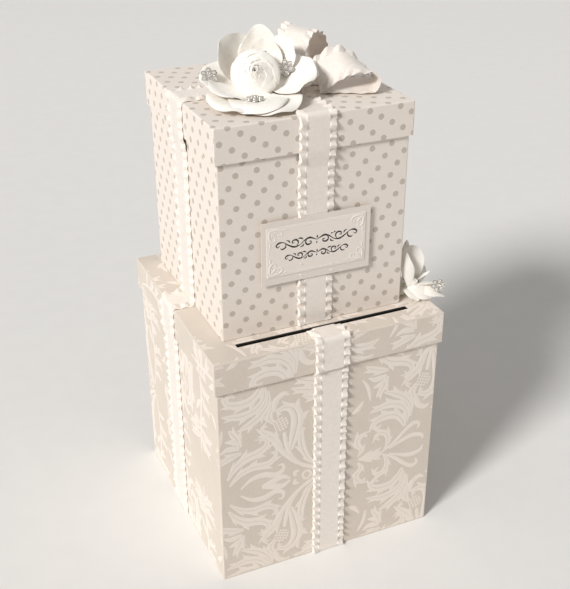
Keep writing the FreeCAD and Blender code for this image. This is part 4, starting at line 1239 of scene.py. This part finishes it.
def on_tag(strokes, dome, steps, finish):
    """Raised strokes, turned upright onto the tag's card."""
    low, high = corners_of("tag_card")
    mesh = strokes_mesh(strokes, dome, steps, finish)
    flat = points_of(mesh)
    middle = (low + high) / 2
    placed = np.stack((middle[0] + flat[:, 0], low[1] - flat[:, 2], middle[2] + flat[:, 1]), 1)
    return put_points(mesh, placed)


def tag():
    """The name tag's relief and its pen work."""
    low, high = corners_of("tag_card")
    half_s, _, half_t = (high - low) / 2
    scrolls = [[(flip_s * (half_s - SCROLL_INSET - s), flip_t * (half_t - SCROLL_INSET - t), width)
                for s, t, width in stroke]
               for flip_s in (-1, 1) for flip_t in (-1, 1) for stroke in CORNER_SCROLL]
    for flip in (-1, 1):
        edge_s, edge_t = half_s - BORDER_INSET, half_t - BORDER_INSET
        across = np.linspace(ACROSS_FROM - half_s, half_s - ACROSS_FROM, ACROSS_POINTS)
        upright = np.linspace(UPRIGHT_FROM - half_t, half_t - UPRIGHT_FROM, UPRIGHT_POINTS)
        scrolls.append([(s, flip * edge_t, BORDER_WIDTH) for s in across])
        scrolls.append([(flip * edge_s, t, BORDER_WIDTH) for t in upright])
    relief = on_tag(scrolls, SCROLL_DOME, SCROLL_STEPS, card_raised)
    piece("tag_embossed_scrolls", relief, None, LID, "tag_card", "tag_corner_ornaments")
    lines = []
    for middle, scale in PEN_ROWS:
        for flip in (-1, 1):
            lines += [[(flip * scale * s, middle + scale * t, PEN_WIDTH * scale ** 0.5 * width)
                       for s, t, width in stroke] for stroke in FLOURISH]
        lines += [[(scale * s, middle + scale * t, width) for s, t, width in stroke]
                  for stroke in FLOURISH_HEART]
    piece("tag_pen_flourish", on_tag(lines, PEN_DOME, PEN_STEPS, ink_black), None, LID, "tag_card")


tag()


# Floor, light and camera

FLOOR_SIZE, FLOOR_COLOUR = 12.0, (0.84, 0.82, 0.79)
AMBIENT = ((1.0, 0.99, 0.98, 1), 0.2)
BACKDROP = ((0.86, 0.85, 0.83, 1), 1.0)
WINDOW_AT = (-2.25, -1.08, 1.65)
WINDOW_STRENGTH, WINDOW_SPREAD = 2.95, 14.0
OVERHEAD_AT = (0, 0.6, 4.0)
OVERHEAD_SIZE, OVERHEAD_POWER = 6.0, 40.0
CAMERA_AT = (-0.3840, -0.8799, 0.7739)
CAMERA_TURN, CAMERA_RISE, CAMERA_ROLL = -23.744, 28.212, -0.206
CAMERA_LENS, CAMERA_SENSOR = 60.93, 36.0


def stage():
    """A plain pale floor and pale surroundings, which light the box less than they show."""
    bpy.ops.mesh.primitive_plane_add(size=FLOOR_SIZE, location=(0, 0, 0))
    floor = bpy.context.object
    floor.name = "floor"
    floor.data.materials.append(grained("pale floor", FLOOR_COLOUR, 0.9, 30.0, 0.02, 0.0))
    world = bpy.data.worlds.new("surroundings")
    bpy.context.scene.world = world
    world.use_nodes = True
    tree = world.node_tree
    tree.nodes.clear()
    path = tree_node(tree, "ShaderNodeLightPath").outputs
    mirrored = maths(tree, "MAXIMUM", path["Is Glossy Ray"], path["Is Transmission Ray"])
    seen = maths(tree, "MAXIMUM", path["Is Camera Ray"], mirrored)
    soft, pale = (output(tree, "ShaderNodeBackground", {"Color": colour, "Strength": strength})
                  for colour, strength in (AMBIENT, BACKDROP))
    either = output(tree, "ShaderNodeMixShader", {0: seen, 1: soft, 2: pale})
    tree.links.new(either, tree.nodes.new("ShaderNodeOutputWorld").inputs[0])


def lights():
    """Soft daylight from the upper left, as through a window, and a wide lamp overhead."""
    window = bpy.data.lights.new("left window", "SUN")
    window.energy = WINDOW_STRENGTH
    window.angle = math.radians(WINDOW_SPREAD)
    overhead = bpy.data.lights.new("overhead", "AREA")
    overhead.size = OVERHEAD_SIZE
    overhead.energy = OVERHEAD_POWER
    for light, at, target in ((window, WINDOW_AT, (0, 0, 0)), (overhead, OVERHEAD_AT, (*OVERHEAD_AT[:2], 0))):
        made = bpy.data.objects.new(light.name, light)
        made.location = at
        made.rotation_euler = (Vector(target) - Vector(at)).to_track_quat("-Z", "Y").to_euler()
        bpy.context.scene.collection.objects.link(made)


def photo_camera():
    """The camera where the photograph was taken from, with its lens."""
    turn, rise, roll = (math.radians(angle) for angle in (CAMERA_TURN, CAMERA_RISE, CAMERA_ROLL))
    lens = bpy.data.cameras.new("photo camera")
    lens.lens = CAMERA_LENS
    lens.sensor_width = CAMERA_SENSOR
    camera = bpy.data.objects.new("photo camera", lens)
    facing = Matrix.Rotation(turn, 4, "Z") @ Matrix.Rotation(math.pi / 2 - rise, 4, "X")
    camera.matrix_world = Matrix.Translation(CAMERA_AT) @ facing @ Matrix.Rotation(roll, 4, "Z")
    bpy.context.scene.collection.objects.link(camera)
    bpy.context.scene.camera = camera


stage()
lights()
photo_camera()
bpy.context.scene.view_settings.view_transform = "Standard"
